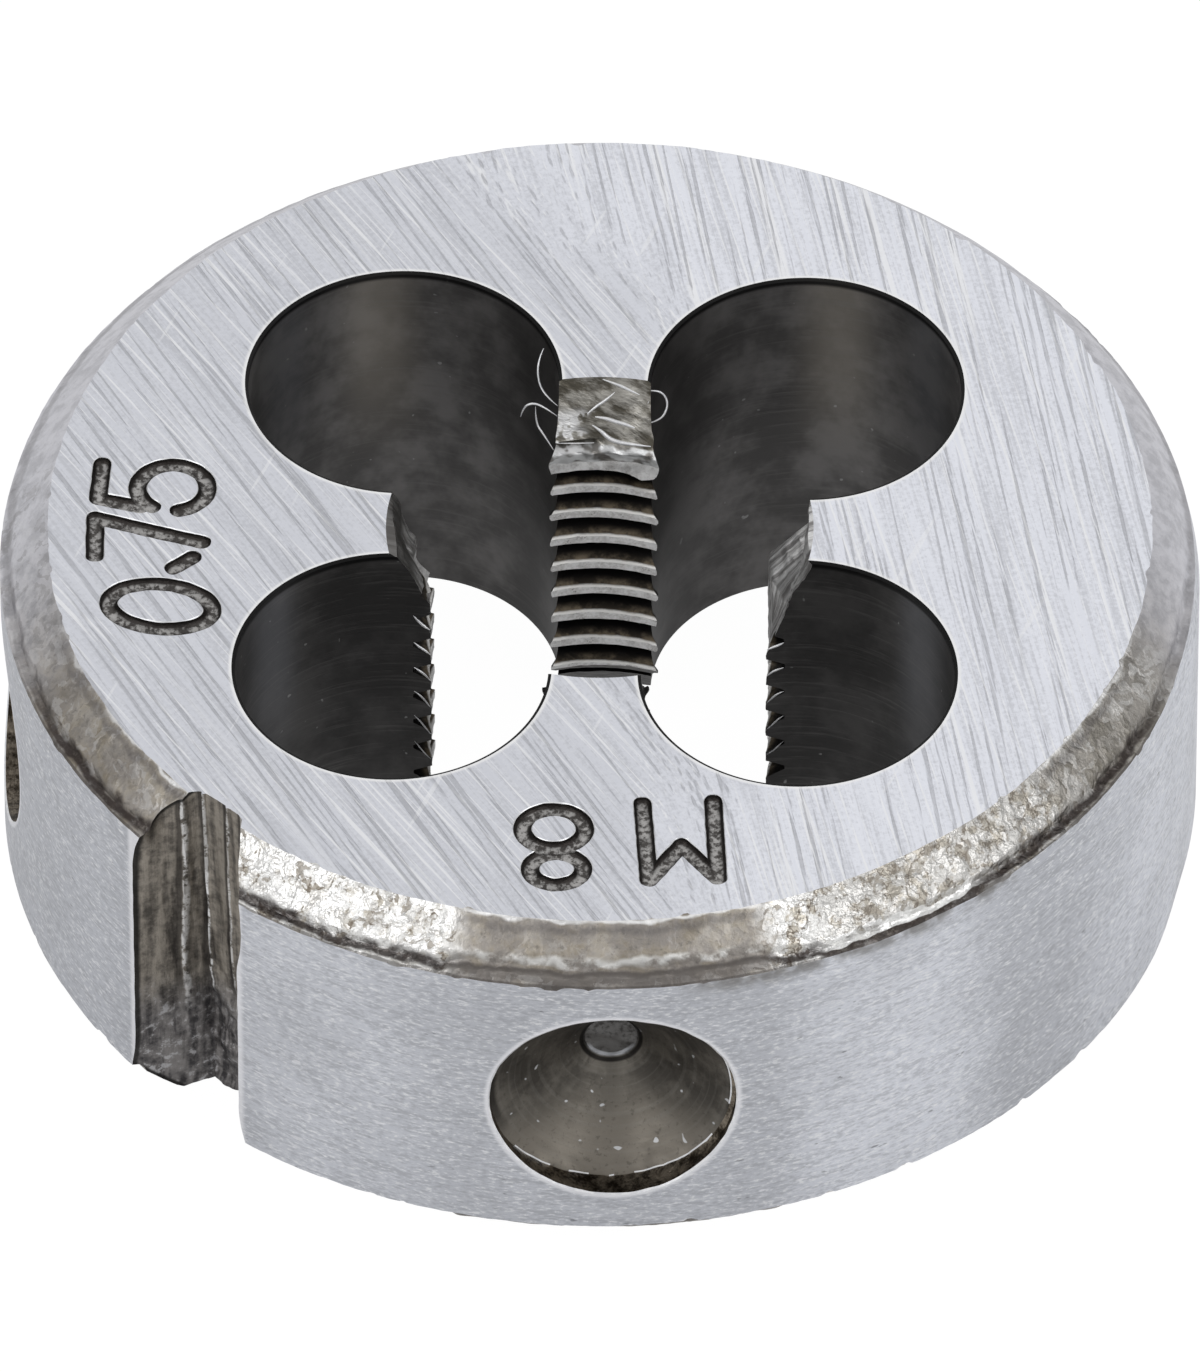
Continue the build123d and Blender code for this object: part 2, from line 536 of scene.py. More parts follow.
def chip_holes(shape):
    """Cutters for the chip clearance holes.

    Each has a hair of a bevel at both faces and leaves a small burr where the
    front and back lands' crests run out into it."""
    radius = shape.hole_diameter / MM / 2
    pitch = shape.thread_pitch / MM
    bevel = 0.035
    reach = 0.02
    wide = radius + 2 * (bevel + reach)
    outline = [
        (0, -OVERRUN),
        (wide, -OVERRUN),
        (wide, -reach),
        (radius, bevel),
        (radius, DIE_HEIGHT - bevel),
        (wide, DIE_HEIGHT + reach),
        (wide, DIE_HEIGHT + OVERRUN),
        (0, DIE_HEIGHT + OVERRUN),
    ]
    cutters = []
    for i in range(4):
        bm = lathe(outline, HOLE_STEPS)
        angle = math.radians(45 + 90 * i)
        place = Vector((math.cos(angle), math.sin(angle), 0)) * shape.hole_circle / MM / 2
        upright = [
            edge
            for edge in bm.edges
            if edge.calc_length() > DIE_HEIGHT / 2
            and 3.35 < (edge.verts[0].co + place).to_2d().length < 4.3
            and abs(edge.verts[0].co.x + place.x) < SIDE_LAND
        ]
        bmesh.ops.subdivide_edges(bm, edges=upright, cuts=HOLE_CUTS)
        bmesh.ops.recalc_face_normals(bm, faces=bm.faces)
        paint(bm, HOLE)
        for vert in bm.verts:
            point = vert.co + place
            reached = math.hypot(point.x, point.y)
            beside_land = abs(point.x) <= SIDE_LAND and 2.8 < reached < 4.2
            if not beside_land or not 0.9 < point.z < DIE_HEIGHT - 0.7:
                continue
            turn = math.atan2(point.y, point.x) / FULL_TURN
            wave = math.cos(FULL_TURN * (point.z / pitch - turn))
            burr = 0.10 * smooth(0.35, 0.9, -wave) * bump(3.62, 0.3, reached)
            burr *= 0.75 + 0.5 * grain(point, 0.5, 14)
            if point.y > 2:
                burr = max(burr, 0.10 * bump(7.4, 0.4, point.z) * bump(3.6, 0.35, reached))
            vert.co.x *= 1 - burr / radius
            vert.co.y *= 1 - burr / radius
        bmesh.ops.translate(bm, verts=bm.verts, vec=place)
        cutters.append(mesh_object(bm, "chip_hole_cutter"))
    return cutters


GROOVE_STEP = 0.07
# Ridges left along the groove's floor: (sideways place, height), in millimetres
GROOVE_RIDGES = ((-0.80, 0.08), (-0.50, 0.11), (0.12, 0.06), (0.55, 0.05))
GROOVE_LEAN = 0.03


def groove_place(shape, out, across, height):
    """Point of the tapered groove's wall.

    out runs from 0 at the floor to 1 outside the rim, and across from -1 to 1."""
    share = height / DIE_HEIGHT
    depth = shape.groove_back_depth + share * (shape.groove_top_depth - shape.groove_back_depth)
    floor_width = shape.groove_back_floor + share * (shape.groove_top_floor - shape.groove_back_floor)
    floor = DIE_RADIUS - depth / MM
    floor_half = floor_width / MM / 2
    mouth_half = shape.groove_mouth / MM / 2
    mouth = math.sqrt(DIE_RADIUS**2 - mouth_half**2)
    reach = DIE_RADIUS + OVERRUN - floor
    spread = reach * (mouth_half - floor_half) / (mouth - floor)
    return Vector((floor + out * reach, across * (floor_half + out * spread), height))


def groove_wear(point, out):
    """Shift of a point of the groove's wall: ridged above, crumbling below."""
    above = smooth(2.2, 4.6, point.z + 0.7 * grain(point, 0.9, 20))
    inner = 1 - smooth(0.35, 0.62, out)
    sink = 0.0
    for place, height in GROOVE_RIDGES:
        wander = 0.03 * noise.noise(Vector((place * 9, point.z * 0.8, 0)))
        wander += GROOVE_LEAN * (point.z - DIE_HEIGHT)
        sink += 0.8 * height * bump(place + wander, 0.07, point.y)
    streak = noise.noise(Vector((point.y * 5, point.z * 0.4, 3)))
    sink = above * (sink + 0.03 * streak)
    lump = grain(point, 0.5, 21) + 0.6 * grain(point, 0.2, 23)
    sink -= (1 - above) * (0.12 * lump + 0.04)
    shift = Vector((sink * inner, 0, 0))
    edge = smooth(0.3, 0.6, out)
    arch = smooth(7.0, 8.8, point.z)
    if point.y < 0:
        shift.y = edge * (0.5 * arch - 0.14 * smooth(2.0, 0.6, point.z))
    else:
        shift.y = edge * (0.16 * smooth(5.8, 7.2, point.z) - 0.1 * arch + 0.2 * smooth(1.9, 0.7, point.z))
    shift.y += edge * 0.025 * grain(point, 0.45, 25)
    return shift


def groove(shape):
    """Cutter for the adjusting groove, with ridged walls that crumble towards the back face."""
    wall = divided([(1, -1), (0, -1)], GROOVE_STEP / 2.6)
    wall += divided([(0, -1), (0, 1)], GROOVE_STEP / 0.8)[1:]
    wall += divided([(0, 1), (1, 1)], GROOVE_STEP / 2.6)[1:]
    rows = math.ceil((DIE_HEIGHT + 2 * OVERRUN) / GROOVE_STEP)
    bm = bmesh.new()
    verts = [bm.verts.new((x, y, -OVERRUN)) for x, y in wall]
    edges = [bm.edges.new((verts[i], verts[i - 1])) for i in range(len(verts))]
    bmesh.ops.spin(
        bm,
        geom=verts + edges,
        cent=(0, 0, 0),
        axis=(0, 0, 1),
        dvec=(0, 0, (DIE_HEIGHT + 2 * OVERRUN) / rows),
        angle=0,
        steps=rows,
    )
    close(bm)
    paint(bm, GROOVE)
    for vert in bm.verts:
        out, across, height = vert.co
        vert.co = groove_place(shape, out, across, height)
        if out < 0.9:
            vert.co += groove_wear(vert.co, out)
    turn_round(bm, Matrix.Rotation(shape.groove_angle, 3, "Z"))
    return mesh_object(bm, "groove_cutter")


def seat_azimuths(shape):
    """Where the left and the front screw seat lie round the rim."""
    return (
        shape.groove_angle - shape.left_seat_spread,
        shape.groove_angle + shape.front_seat_spread,
    )


def seat(shape, azimuth):
    """Cutter for one conical screw seat, with faint turning rings and a burnished lip painted bright as
    painted highlight.
    """
    mouth = shape.seat_mouth / MM / 2
    pilot = shape.seat_pilot / MM / 2
    rim = math.sqrt(DIE_RADIUS**2 - mouth**2)
    top = rim - shape.seat_mouth_depth / MM
    foot = top - (mouth - pilot) / math.tan(shape.seat_half_angle)
    lip = 0.045
    ledge = 0.04
    ledge_foot = (mouth - ledge, top - ledge / 3)
    outline = divided([(0, foot - 0.03), (pilot * 0.93, foot - 0.05), (pilot, foot)], 0.1)
    outline += divided([(pilot, foot), ledge_foot], 0.09)[1:]
    outline += divided([ledge_foot, (mouth - 0.01, top), (mouth, rim - 0.05)], 0.06)[1:]
    outline += [
        Vector((mouth, rim - lip * 0.7)),
        Vector((mouth + lip + 0.02, rim + 0.02)),
        Vector((mouth + lip + 0.02, DIE_RADIUS + OVERRUN)),
        Vector((0, DIE_RADIUS + OVERRUN)),
    ]
    bm = lathe(outline, SEAT_STEPS)
    bmesh.ops.recalc_face_normals(bm, faces=bm.faces)

    def zone(middle):
        radius = math.hypot(middle.x, middle.y)
        if middle.z > rim - lip * 0.7:
            return EDGE
        if radius > mouth - ledge - 0.001 and middle.z < top:
            return EDGE if grain(middle, 0.5, 37) > -0.12 else CONE
        return SEAT if middle.z > top else CONE

    paint(bm, zone)
    for vert in bm.verts:
        point = vert.co.copy()
        radius = math.hypot(point.x, point.y)
        if point.z < top + 0.01:
            # the cone was turned a little off the mouth's axis
            vert.co += Vector((-0.02, -0.08, 0)) * smooth(pilot, mouth, radius)
        if point.z > top + 0.04:
            # the rim curves away to both sides of the seat
            vert.co.z += math.sqrt(DIE_RADIUS**2 - min(point.y**2, mouth**2)) - rim
            vert.co.x += 0.02 * grain(point, 0.3, 33)
            vert.co.y += 0.02 * grain(point, 0.3, 35)
        elif radius > pilot:
            vert.co.z += 0.002 * math.sin(radius * 17) + 0.012 * grain(point, 0.5, 31)
            vert.co.z += 0.02 * smooth(0.45, 0.6, grain(point, 0.16, 32))
            if radius > mouth - 0.25:
                vert.co.z += 0.03 * grain(point, 0.35, 36)
        else:
            vert.co.z += 0.02 * grain(point, 0.25, 34)
    turn_round(bm, Matrix.Rotation(math.pi / 2, 3, "Y"))
    turn_round(bm, Matrix.Rotation(azimuth, 3, "Z"))
    bmesh.ops.translate(bm, verts=bm.verts, vec=(0, 0, DIE_HEIGHT / 2))
    return mesh_object(bm, "seat_cutter")


# ---------------------------------------------------------------- marks


def arc(centre, radii, start, end, count, tilt=0.0):
    """Points on an ellipse's arc; angles in degrees, anticlockwise from the right."""
    points = []
    lean = Matrix.Rotation(math.radians(tilt), 2)
    for i in range(count):
        angle = math.radians(start + (end - start) * i / (count - 1))
        point = Vector((radii[0] * math.cos(angle), radii[1] * math.sin(angle)))
        points.append(Vector(centre) + lean @ point)
    return points


def ring(centre, radii, tilt=0.0):
    """A closed ellipse as a stroke."""
    return arc(centre, radii, 0, 352.5, 48, tilt), True


def polyline(name, points, radii=None, closed=False):
    """A curve object through points, with a radius for each point."""
    curve = bpy.data.curves.new(name, "CURVE")
    curve.dimensions = "3D"
    spline = curve.splines.new("POLY")
    spline.points.add(len(points) - 1)
    for knot, point, radius in zip(spline.points, points, radii or [1.0] * len(points)):
        knot.co = (*Vector(point).to_3d(), 1)
        knot.radius = radius
    spline.use_cyclic_u = closed
    obj = bpy.data.objects.new(name, curve)
    bpy.context.scene.collection.objects.link(obj)
    return obj


def curve_mesh(obj):
    """The curve object's mesh as a clean bmesh; the curve is removed."""
    bpy.context.view_layer.update()
    mesh = bpy.data.meshes.new_from_object(obj.evaluated_get(bpy.context.evaluated_depsgraph_get()))
    curve = obj.data
    bpy.data.objects.remove(obj)
    bpy.data.curves.remove(curve)
    bm = bmesh.new()
    bm.from_mesh(mesh)
    bpy.data.meshes.remove(mesh)
    bmesh.ops.remove_doubles(bm, verts=bm.verts, dist=1e-5)
    bmesh.ops.recalc_face_normals(bm, faces=bm.faces)
    return bm


def stamp_outline(width, lip):
    """Cross-section of a stamped stroke: round below, with a burnished lip at the face, painted bright as
    painted highlight.
    """
    outline = arc((0, -0.02), (width / 2, width * 0.4), 180, 360, 11)
    outline += [Vector((width / 2 + lip, lip * 0.6)), Vector((width / 2 + lip, 0.3))]
    return outline + [Vector((-width / 2 - lip, 0.3)), Vector((-width / 2 - lip, lip * 0.6))]


def stroke(points, closed, width, place):
    """Cutter for one stamped stroke, sunk into the marked face."""
    points = [Vector(point) for point in points]
    if not closed:
        points = divided(points, width / 4)
    radii = [1.0] * len(points)
    if not closed:
        first = (points[0] - points[1]).normalized() * width / 2
        last = (points[-1] - points[-2]).normalized() * width / 2
        shares = (0.98, 0.92, 0.8, 0.6, 0.35)
        points = [points[0] + first * k for k in shares] + points
        radii = [math.sqrt(1 - k * k) for k in shares] + radii
        points += [points[-1] + last * k for k in reversed(shares)]
        radii += [math.sqrt(1 - k * k) for k in reversed(shares)]
    lip = 0.035
    outline = polyline("outline", stamp_outline(width, lip), closed=True)
    draft = polyline("stroke", points, radii, closed)
    draft.data.twist_mode = "Z_UP"
    draft.data.bevel_mode = "OBJECT"
    draft.data.bevel_object = outline
    draft.data.use_fill_caps = True
    bm = curve_mesh(draft)
    curve = outline.data
    bpy.data.objects.remove(outline)
    bpy.data.curves.remove(curve)
    paint(bm, lambda middle: EDGE if middle.z > -0.02 else MARK)
    turn_round(bm, place)
    bmesh.ops.translate(bm, verts=bm.verts, vec=(0, 0, DIE_HEIGHT))
    for vert in bm.verts:
        vert.co += 0.012 * Vector(
            (grain(vert.co, 0.2, 41), grain(vert.co, 0.2, 43), grain(vert.co, 0.15, 45))
        )
    return mesh_object(bm, "stroke_cutter")


def size_marks():
    """Strokes of the thread size, as (points, closed, place in degrees) rows.

    Each mark is drawn upright, with its top away from the thread axis."""
    front = 181.5
    left = 91.5
    letter_m = [(-0.87, 8.10), (-1.0, 10.33), (-1.67, 9.30), (-2.42, 10.27), (-2.33, 8.04)]
    eight = [ring((0.96, 8.83), (0.645, 0.56)), ring((0.90, 10.0), (0.55, 0.45))]
    nought = ring((-2.32, 9.12), (0.65, 1.09), -9)
    point = [(-1.20, 8.87), (-0.87, 8.47)]
    seven_bar = [(-0.83, 10.5), (0.30, 10.5)]
    seven_stem = [(0.30, 10.5), (-0.07, 9.4), (-0.43, 8.27)]
    five_bar = [(1.9, 10.37), (0.87, 10.45)]
    five_drop = [(0.87, 10.45), (0.62, 9.55)]
    five_bowl = arc((1.18, 8.9), (0.68, 0.73), 145, -170, 40)
    rows = [(letter_m[i : i + 2], False, front) for i in range(4)]
    rows += [(points, closed, front) for points, closed in eight]
    rows.append((*nought, left))
    for line in (point, seven_bar, seven_stem, five_bar, five_drop, five_bowl):
        rows.append((line, False, left))
    return rows


def stamp_cutters(shape):
    """One cutter for each stamped stroke."""
    width = shape.mark_stroke / MM
    return [
        stroke(points, closed, width, Matrix.Rotation(math.radians(turn), 3, "Z"))
        for points, closed, turn in size_marks()
    ]


# ---------------------------------------------------------------- burrs

# Fine curled burrs and folds left on the back land's lead-in: (wire radius, points), in millimetres
BURRS = (
    (0.024, (
        (-1.31, 5.27, 9), (-1.43, 5.06, 8.84), (-1.41, 4.81, 8.44),
        (-1.21, 4.57, 8.24), (-0.99, 4.28, 8.3),
    )),
    (0.024, (
        (-1.76, 4.11, 8.13), (-1.7, 4.16, 8.38), (-1.51, 4.16, 8.49),
        (-1.28, 4.15, 8.4), (-0.99, 4.03, 8.24),
    )),
    (0.024, (
        (-1.45, 4.16, 8.38), (-1.45, 4.06, 8), (-1.27, 3.92, 7.8),
        (-1.06, 3.67, 7.6),
    )),
    (0.024, (
        (0.79, 4.32, 8.72), (1.09, 4.39, 8.72), (1.29, 4.37, 8.52),
        (1.31, 4.24, 8.3), (1.15, 4.08, 8.1), (0.82, 3.97, 8.1),
    )),
    (0.036, (
        (-0.05, 4.42, 8.96), (0.27, 4.36, 8.87), (0.5, 4.29, 8.79),
        (0.73, 4.22, 8.72),
    )),
    (0.032, (
        (0.21, 4.28, 8.73), (0.058, 4.2, 8.61), (-0.03, 4.17, 8.55),
        (-0.22, 4.1, 8.44), (-0.41, 3.99, 8.3),
    )),
    (0.046, (
        (-0.2, 3.99, 8.28), (0.01, 3.98, 8.26), (0.22, 3.94, 8.2),
        (0.45, 3.9, 8.16), (0.72, 3.82, 8.1),
    )),
    (0.050, (
        (-0.26, 3.9, 8.13), (-0.06, 3.83, 8.02), (0.065, 3.76, 7.9),
        (0.26, 3.71, 7.83), (0.51, 3.67, 7.81), (0.98, 3.58, 7.84),
    )),
    (0.019, (
        (0.92, 4.12, 8.63), (0.83, 4.01, 8.42), (0.7, 3.91, 8.24),
    )),
    (0.022, (
        (-0.99, 3.6, 7.87), (-0.59, 3.65, 7.82), (-0.21, 3.69, 7.81),
    )),
)


def tooth_burrs(shape):
    """Thin burrs along the upper edges of the side lands' teeth, where the chip holes cut them."""
    pitch = shape.thread_pitch / MM
    root = shape.thread_major / MM / 2
    middle = shape.hole_circle / MM / 2
    radius = shape.hole_diameter / MM / 2
    rows = []
    for start, turn, last, lift in ((-135, -1, 9, 0.10), (-45, 1, 8, 0.065)):
        for tooth in range(4, last + 1):
            points = []
            for i in range(5):
                reach = root - 0.34 + 0.08 * i
                cosine = (reach**2 + middle**2 - radius**2) / (2 * reach * middle)
                azimuth = math.radians(start) + turn * math.acos(cosine)
                height = pitch * (azimuth / FULL_TURN + tooth + 0.5) + 0.1 + lift * i
                height += 0.05 * math.sin(i * 0.8 + tooth)
                points.append((reach * math.cos(azimuth), reach * math.sin(azimuth), height))
            rows.append((0.0035 * tooth, points))
    return rows


def burr_mesh(shape):
    """All the burrs as one mesh of thin tapered wires."""
    joined = bmesh.new()
    for wire, points in (*BURRS, *tooth_burrs(shape)):
        count = len(points)
        radii = [1.0 - 0.7 * abs(2 * i / (count - 1) - 1) ** 3 for i in range(count)]
        draft = polyline("burr", points, radii)
        spline = draft.data.splines[0]
        spline.type = "NURBS"
        spline.order_u = 3
        spline.use_endpoint_u = True
        spline.resolution_u = 8
        draft.data.bevel_depth = wire
        draft.data.bevel_resolution = 2
        draft.data.use_fill_caps = True
        bm = curve_mesh(draft)
        piece = bpy.data.meshes.new("burr")
        bm.to_mesh(piece)
        bm.free()
        joined.from_mesh(piece)
        bpy.data.meshes.remove(piece)
    return joined


# ---------------------------------------------------------------- materials


def feed(tree, socket, value):
    """Links a socket to another, or sets its value."""
    if isinstance(value, bpy.types.NodeSocket):
        tree.links.new(value, socket)
    else:
        socket.default_value = value


def add(tree, kind, inputs=None, **settings):
    """Adds a node; an input that is a socket is linked, any other is a value."""
    item = tree.nodes.new(kind)
    for key, value in settings.items():
        setattr(item, key, value)
    for key, value in (inputs or {}).items():
        feed(tree, item.inputs[key], value)
    return item


def new_material(name):
    """An empty node material with its output and one shader."""
    material = bpy.data.materials.new(name)
    material.use_nodes = True
    tree = material.node_tree
    tree.nodes.clear()
    shader = add(tree, "ShaderNodeBsdfPrincipled")
    add(tree, "ShaderNodeOutputMaterial", {"Surface": shader.outputs[0]})
    return material, tree, shader


def vector_maths(tree, operation, first, second=(0, 0, 0)):
    """One step of vector arithmetic."""
    item = add(tree, "ShaderNodeVectorMath", {0: first, 1: second}, operation=operation)
    return item.outputs["Value" if operation in ("LENGTH", "DOT_PRODUCT") else "Vector"]


def components(tree, place):
    """The x, y and z sockets of a position."""
    return add(tree, "ShaderNodeSeparateXYZ", {0: place}).outputs


def place_mm(tree):
    """Position on the die in millimetres."""
    position = add(tree, "ShaderNodeTexCoord").outputs["Object"]
    return add(
        tree, "ShaderNodeVectorMath", {0: position, "Scale": 1 / MM}, operation="SCALE"
    ).outputs[0]


def rotated(tree, place, angle):
    """Coordinates turned about Z."""
    return add(tree, "ShaderNodeMapping", {"Vector": place, "Rotation": (0, 0, angle)}).outputs[0]


def stretched(tree, place, stretch, turned=0.0):
    """Coordinates turned about Z and then stretched along each axis."""
    return vector_maths(tree, "MULTIPLY", rotated(tree, place, -math.radians(turned)), stretch)


def cloud(tree, place, scale, detail=3.0, roughness=0.55):
    """Noise value round 0.5."""
    inputs = {"Vector": place, "Scale": scale, "Detail": detail, "Roughness": roughness}
    return add(tree, "ShaderNodeTexNoise", inputs).outputs["Fac"]


def ramp(tree, value, low, high, start=0.0, end=1.0, smooth_ends=True):
    """Maps value from low..high to start..end and holds it at the ends."""
    return add(
        tree,
        "ShaderNodeMapRange",
        {"Value": value, "From Min": low, "From Max": high, "To Min": start, "To Max": end},
        interpolation_type="SMOOTHSTEP" if smooth_ends else "LINEAR",
    ).outputs[0]


def maths(tree, operation, first, second=0.0):
    """One arithmetic step."""
    return add(tree, "ShaderNodeMath", {0: first, 1: second}, operation=operation).outputs[0]


def blend(tree, share, first, second):
    """Mixes two colours by share."""
    tones = [
        tone if isinstance(tone, bpy.types.NodeSocket) else (*tone[:3], 1) for tone in (first, second)
    ]
    item = add(tree, "ShaderNodeMix", {0: share, 6: tones[0], 7: tones[1]}, data_type="RGBA")
    return item.outputs[2]


def relief(tree, height, depth, strength):
    """Bump normal from a height of 0 to 1 that stands for depth millimetres."""
    inputs = {"Height": height, "Strength": strength, "Distance": depth * MM}
    return add(tree, "ShaderNodeBump", inputs).outputs[0]


def shade(colour, factor):
    """A colour made lighter or darker."""
    return tuple(min(1.0, channel * factor) for channel in colour)


def band(tree, value, middle, half, soft):
    """1 where value is within half of middle, and fading to 0 over soft."""
    away = maths(tree, "ABSOLUTE", maths(tree, "SUBTRACT", value, middle))
    return ramp(tree, away, half + soft, half)


def facing(tree, place, azimuth, half, soft):
    """1 on the side of the die at an azimuth, in degrees, and fading to 0 round it."""
    outward = vector_maths(tree, "NORMALIZE", vector_maths(tree, "MULTIPLY", place, (1, 1, 0)))
    toward = (math.cos(math.radians(azimuth)), math.sin(math.radians(azimuth)), 0)
    along = vector_maths(tree, "DOT_PRODUCT", outward, toward)
    return ramp(tree, along, math.cos(math.radians(half + soft)), math.cos(math.radians(half)))


def finish_shader(tree, shader, colour, roughness, normal, metallic=1.0):
    """Sets the shader's main inputs from sockets or plain values."""
    values = {"Base Color": colour, "Roughness": roughness, "Normal": normal, "Metallic": metallic}
    for name, value in values.items():
        feed(tree, shader.inputs[name], value)


def mean(tree, first, second, share=0.5):
    """Weighted mean of two values."""
    item = add(tree, "ShaderNodeMix", {0: share, 2: first, 3: second}, data_type="FLOAT")
    return item.outputs[0]


def both(tree, *values):
    """Product of several values."""
    result = values[0]
    for value in values[1:]:
        result = maths(tree, "MULTIPLY", result, value)
    return result


def length(tree, place, keep):
    """Distance from the origin, by the parts of the position that are kept."""
    return vector_maths(tree, "LENGTH", vector_maths(tree, "MULTIPLY", place, keep))


def hole_place(tree, place, shape):
    """Position from the axis of the nearest chip hole, mirrored to the first quarter."""
    middle = shape.hole_circle / MM / 2 * math.sqrt(0.5)
    return vector_maths(tree, "SUBTRACT", vector_maths(tree, "ABSOLUTE", place), (middle, middle, 0))


def seat_distance(tree, place, shape):
    """Distance from the axis of the nearest screw seat."""
    centre = vector_maths(tree, "SUBTRACT", place, (0, 0, DIE_HEIGHT / 2))
    away = []
    for azimuth in seat_azimuths(shape):
        axis = (math.cos(azimuth), math.sin(azimuth), 0)
        away.append(vector_maths(tree, "LENGTH", vector_maths(tree, "CROSS_PRODUCT", centre, axis)))
    return maths(tree, "MINIMUM", away[0], away[1])


def groove_turned(tree, place, shape):
    """Position turned so that the groove lies along X."""
    return rotated(tree, place, -shape.groove_angle)


def ground_face_material(shape, finish):
    """Flat faces, surface-ground in two passes that cross at a small angle; the right-hand pass is painted
    lighter as painted sheen, bright scratch lines are painted glints and a painted highlight rings each
    chip hole.
    """
    material, tree, shader = new_material("ground_face")
    place = place_mm(tree)
    split = components(tree, place)
    drift = maths(tree, "MULTIPLY", cloud(tree, place, 0.25, 2.0), 6.0)
    across = maths(tree, "ADD", split[0], drift)
    across = maths(tree, "ADD", across, ramp(tree, split[1], 5.0, 12.0, 0.0, 5.0))
    side = ramp(tree, across, 2.0, 8.0)
    layers = []
    for turn in (123, 103):
        layers.append(
            (
                cloud(tree, stretched(tree, place, (0.14, 2.4, 1.0), turn), 1.0, 3.0, 0.6),
                cloud(tree, stretched(tree, place, (0.30, 12.0, 1.0), turn), 1.0, 3.0, 0.7),
                cloud(tree, stretched(tree, place, (0.12, 11.5, 1.0), turn + 2.5), 1.0, 1.0),
                cloud(tree, stretched(tree, place, (0.08, 7.5, 1.0), turn - 3.5), 1.3, 0.0),
                cloud(tree, stretched(tree, place, (0.05, 3.6, 1.0), turn - 1.0), 1.0, 1.0),
            )
        )
    broad, fine, lines, scores, wide = [mean(tree, left, right, side) for left, right in zip(*layers)]
    speckle = cloud(tree, place, 9.0, 3.0, 0.7)
    tone = mean(tree, mean(tree, broad, fine, 0.6), speckle, 0.3)
    # Painted glints: bright scratch lines, broad lines and stray lines are painted nearly white
    bright = both(tree, ramp(tree, lines, 0.56, 0.66), ramp(tree, fine, 0.36, 0.54))
    shown = ramp(tree, side, 0.0, 0.6, 0.25, 1.0)
    broad_glint = both(tree, ramp(tree, wide, 0.62, 0.68), ramp(tree, fine, 0.4, 0.5), shown)
    bright = maths(tree, "MAXIMUM", bright, broad_glint)
    dark = both(tree, ramp(tree, scores, 0.42, 0.33), ramp(tree, fine, 0.62, 0.45))
    stray_glints = cloud(tree, stretched(tree, place, (0.30, 5.0, 1.0), 68), 1.0, 0.0)
    # Painted sheen: the right-hand pass is painted lighter, for how its lay catches the light
    base = blend(tree, side, shade(finish.ground, 0.98), shade(finish.ground, 1.17))
    deep = blend(tree, side, shade(finish.ground, 0.80), shade(finish.ground, 0.88))
    colour = blend(tree, ramp(tree, tone, 0.40, 0.55), deep, base)
    colour = blend(tree, both(tree, bright, 0.7), colour, (0.98, 0.985, 1.0))
    colour = blend(tree, both(tree, ramp(tree, stray_glints, 0.76, 0.80), 0.35), colour, (0.98, 0.985, 1.0))
    colour = blend(tree, both(tree, dark, 0.45), colour, shade(finish.ground, 0.45))
    # Painted highlight: a pale ring on the face round each chip hole
    hole = length(tree, hole_place(tree, place, shape), (1, 1, 0))
    rim = ramp(tree, hole, shape.hole_diameter / MM / 2 + 0.17, shape.hole_diameter / MM / 2 + 0.09)
    colour = blend(tree, both(tree, rim, 0.8), colour, (1.0, 1.0, 1.0))
    height = maths(tree, "SUBTRACT", maths(tree, "ADD", tone, both(tree, bright, 0.3)), dark)
    normal = relief(tree, height, 0.010, 0.6)
    finish_shader(tree, shader, colour, ramp(tree, fine, 0.3, 0.7, 0.34, 0.5), normal)
    return material


def crumple(tree, place):
    """Random tone of crumpled facets, from 0 to 1, by which the chamfer paints the facets lit and shaded,
    and their relief.
    """
    push = add(tree, "ShaderNodeTexNoise", {"Vector": place, "Scale": 1.8, "Detail": 4.0}).outputs["Color"]
    push = add(tree, "ShaderNodeVectorMath", {0: push, "Scale": 1.1}, operation="SCALE").outputs[0]
    warped = vector_maths(tree, "ADD", place, push)
    tones = []
    for scale in (2.6, 5.5):
        cells = add(tree, "ShaderNodeTexVoronoi", {"Vector": warped, "Scale": scale})
        tones.append(add(tree, "ShaderNodeSeparateColor", {0: cells.outputs["Color"]}).outputs[0])
        tones.append(cells.outputs["Distance"])
    tone = mean(tree, tones[0], tones[2], 0.45)
    tone = mean(tree, tone, cloud(tree, place, 3.4, 4.0, 0.7), 0.35)
    return tone, mean(tree, maths(tree, "SUBTRACT", tone, tones[1]), tones[3], 0.3)


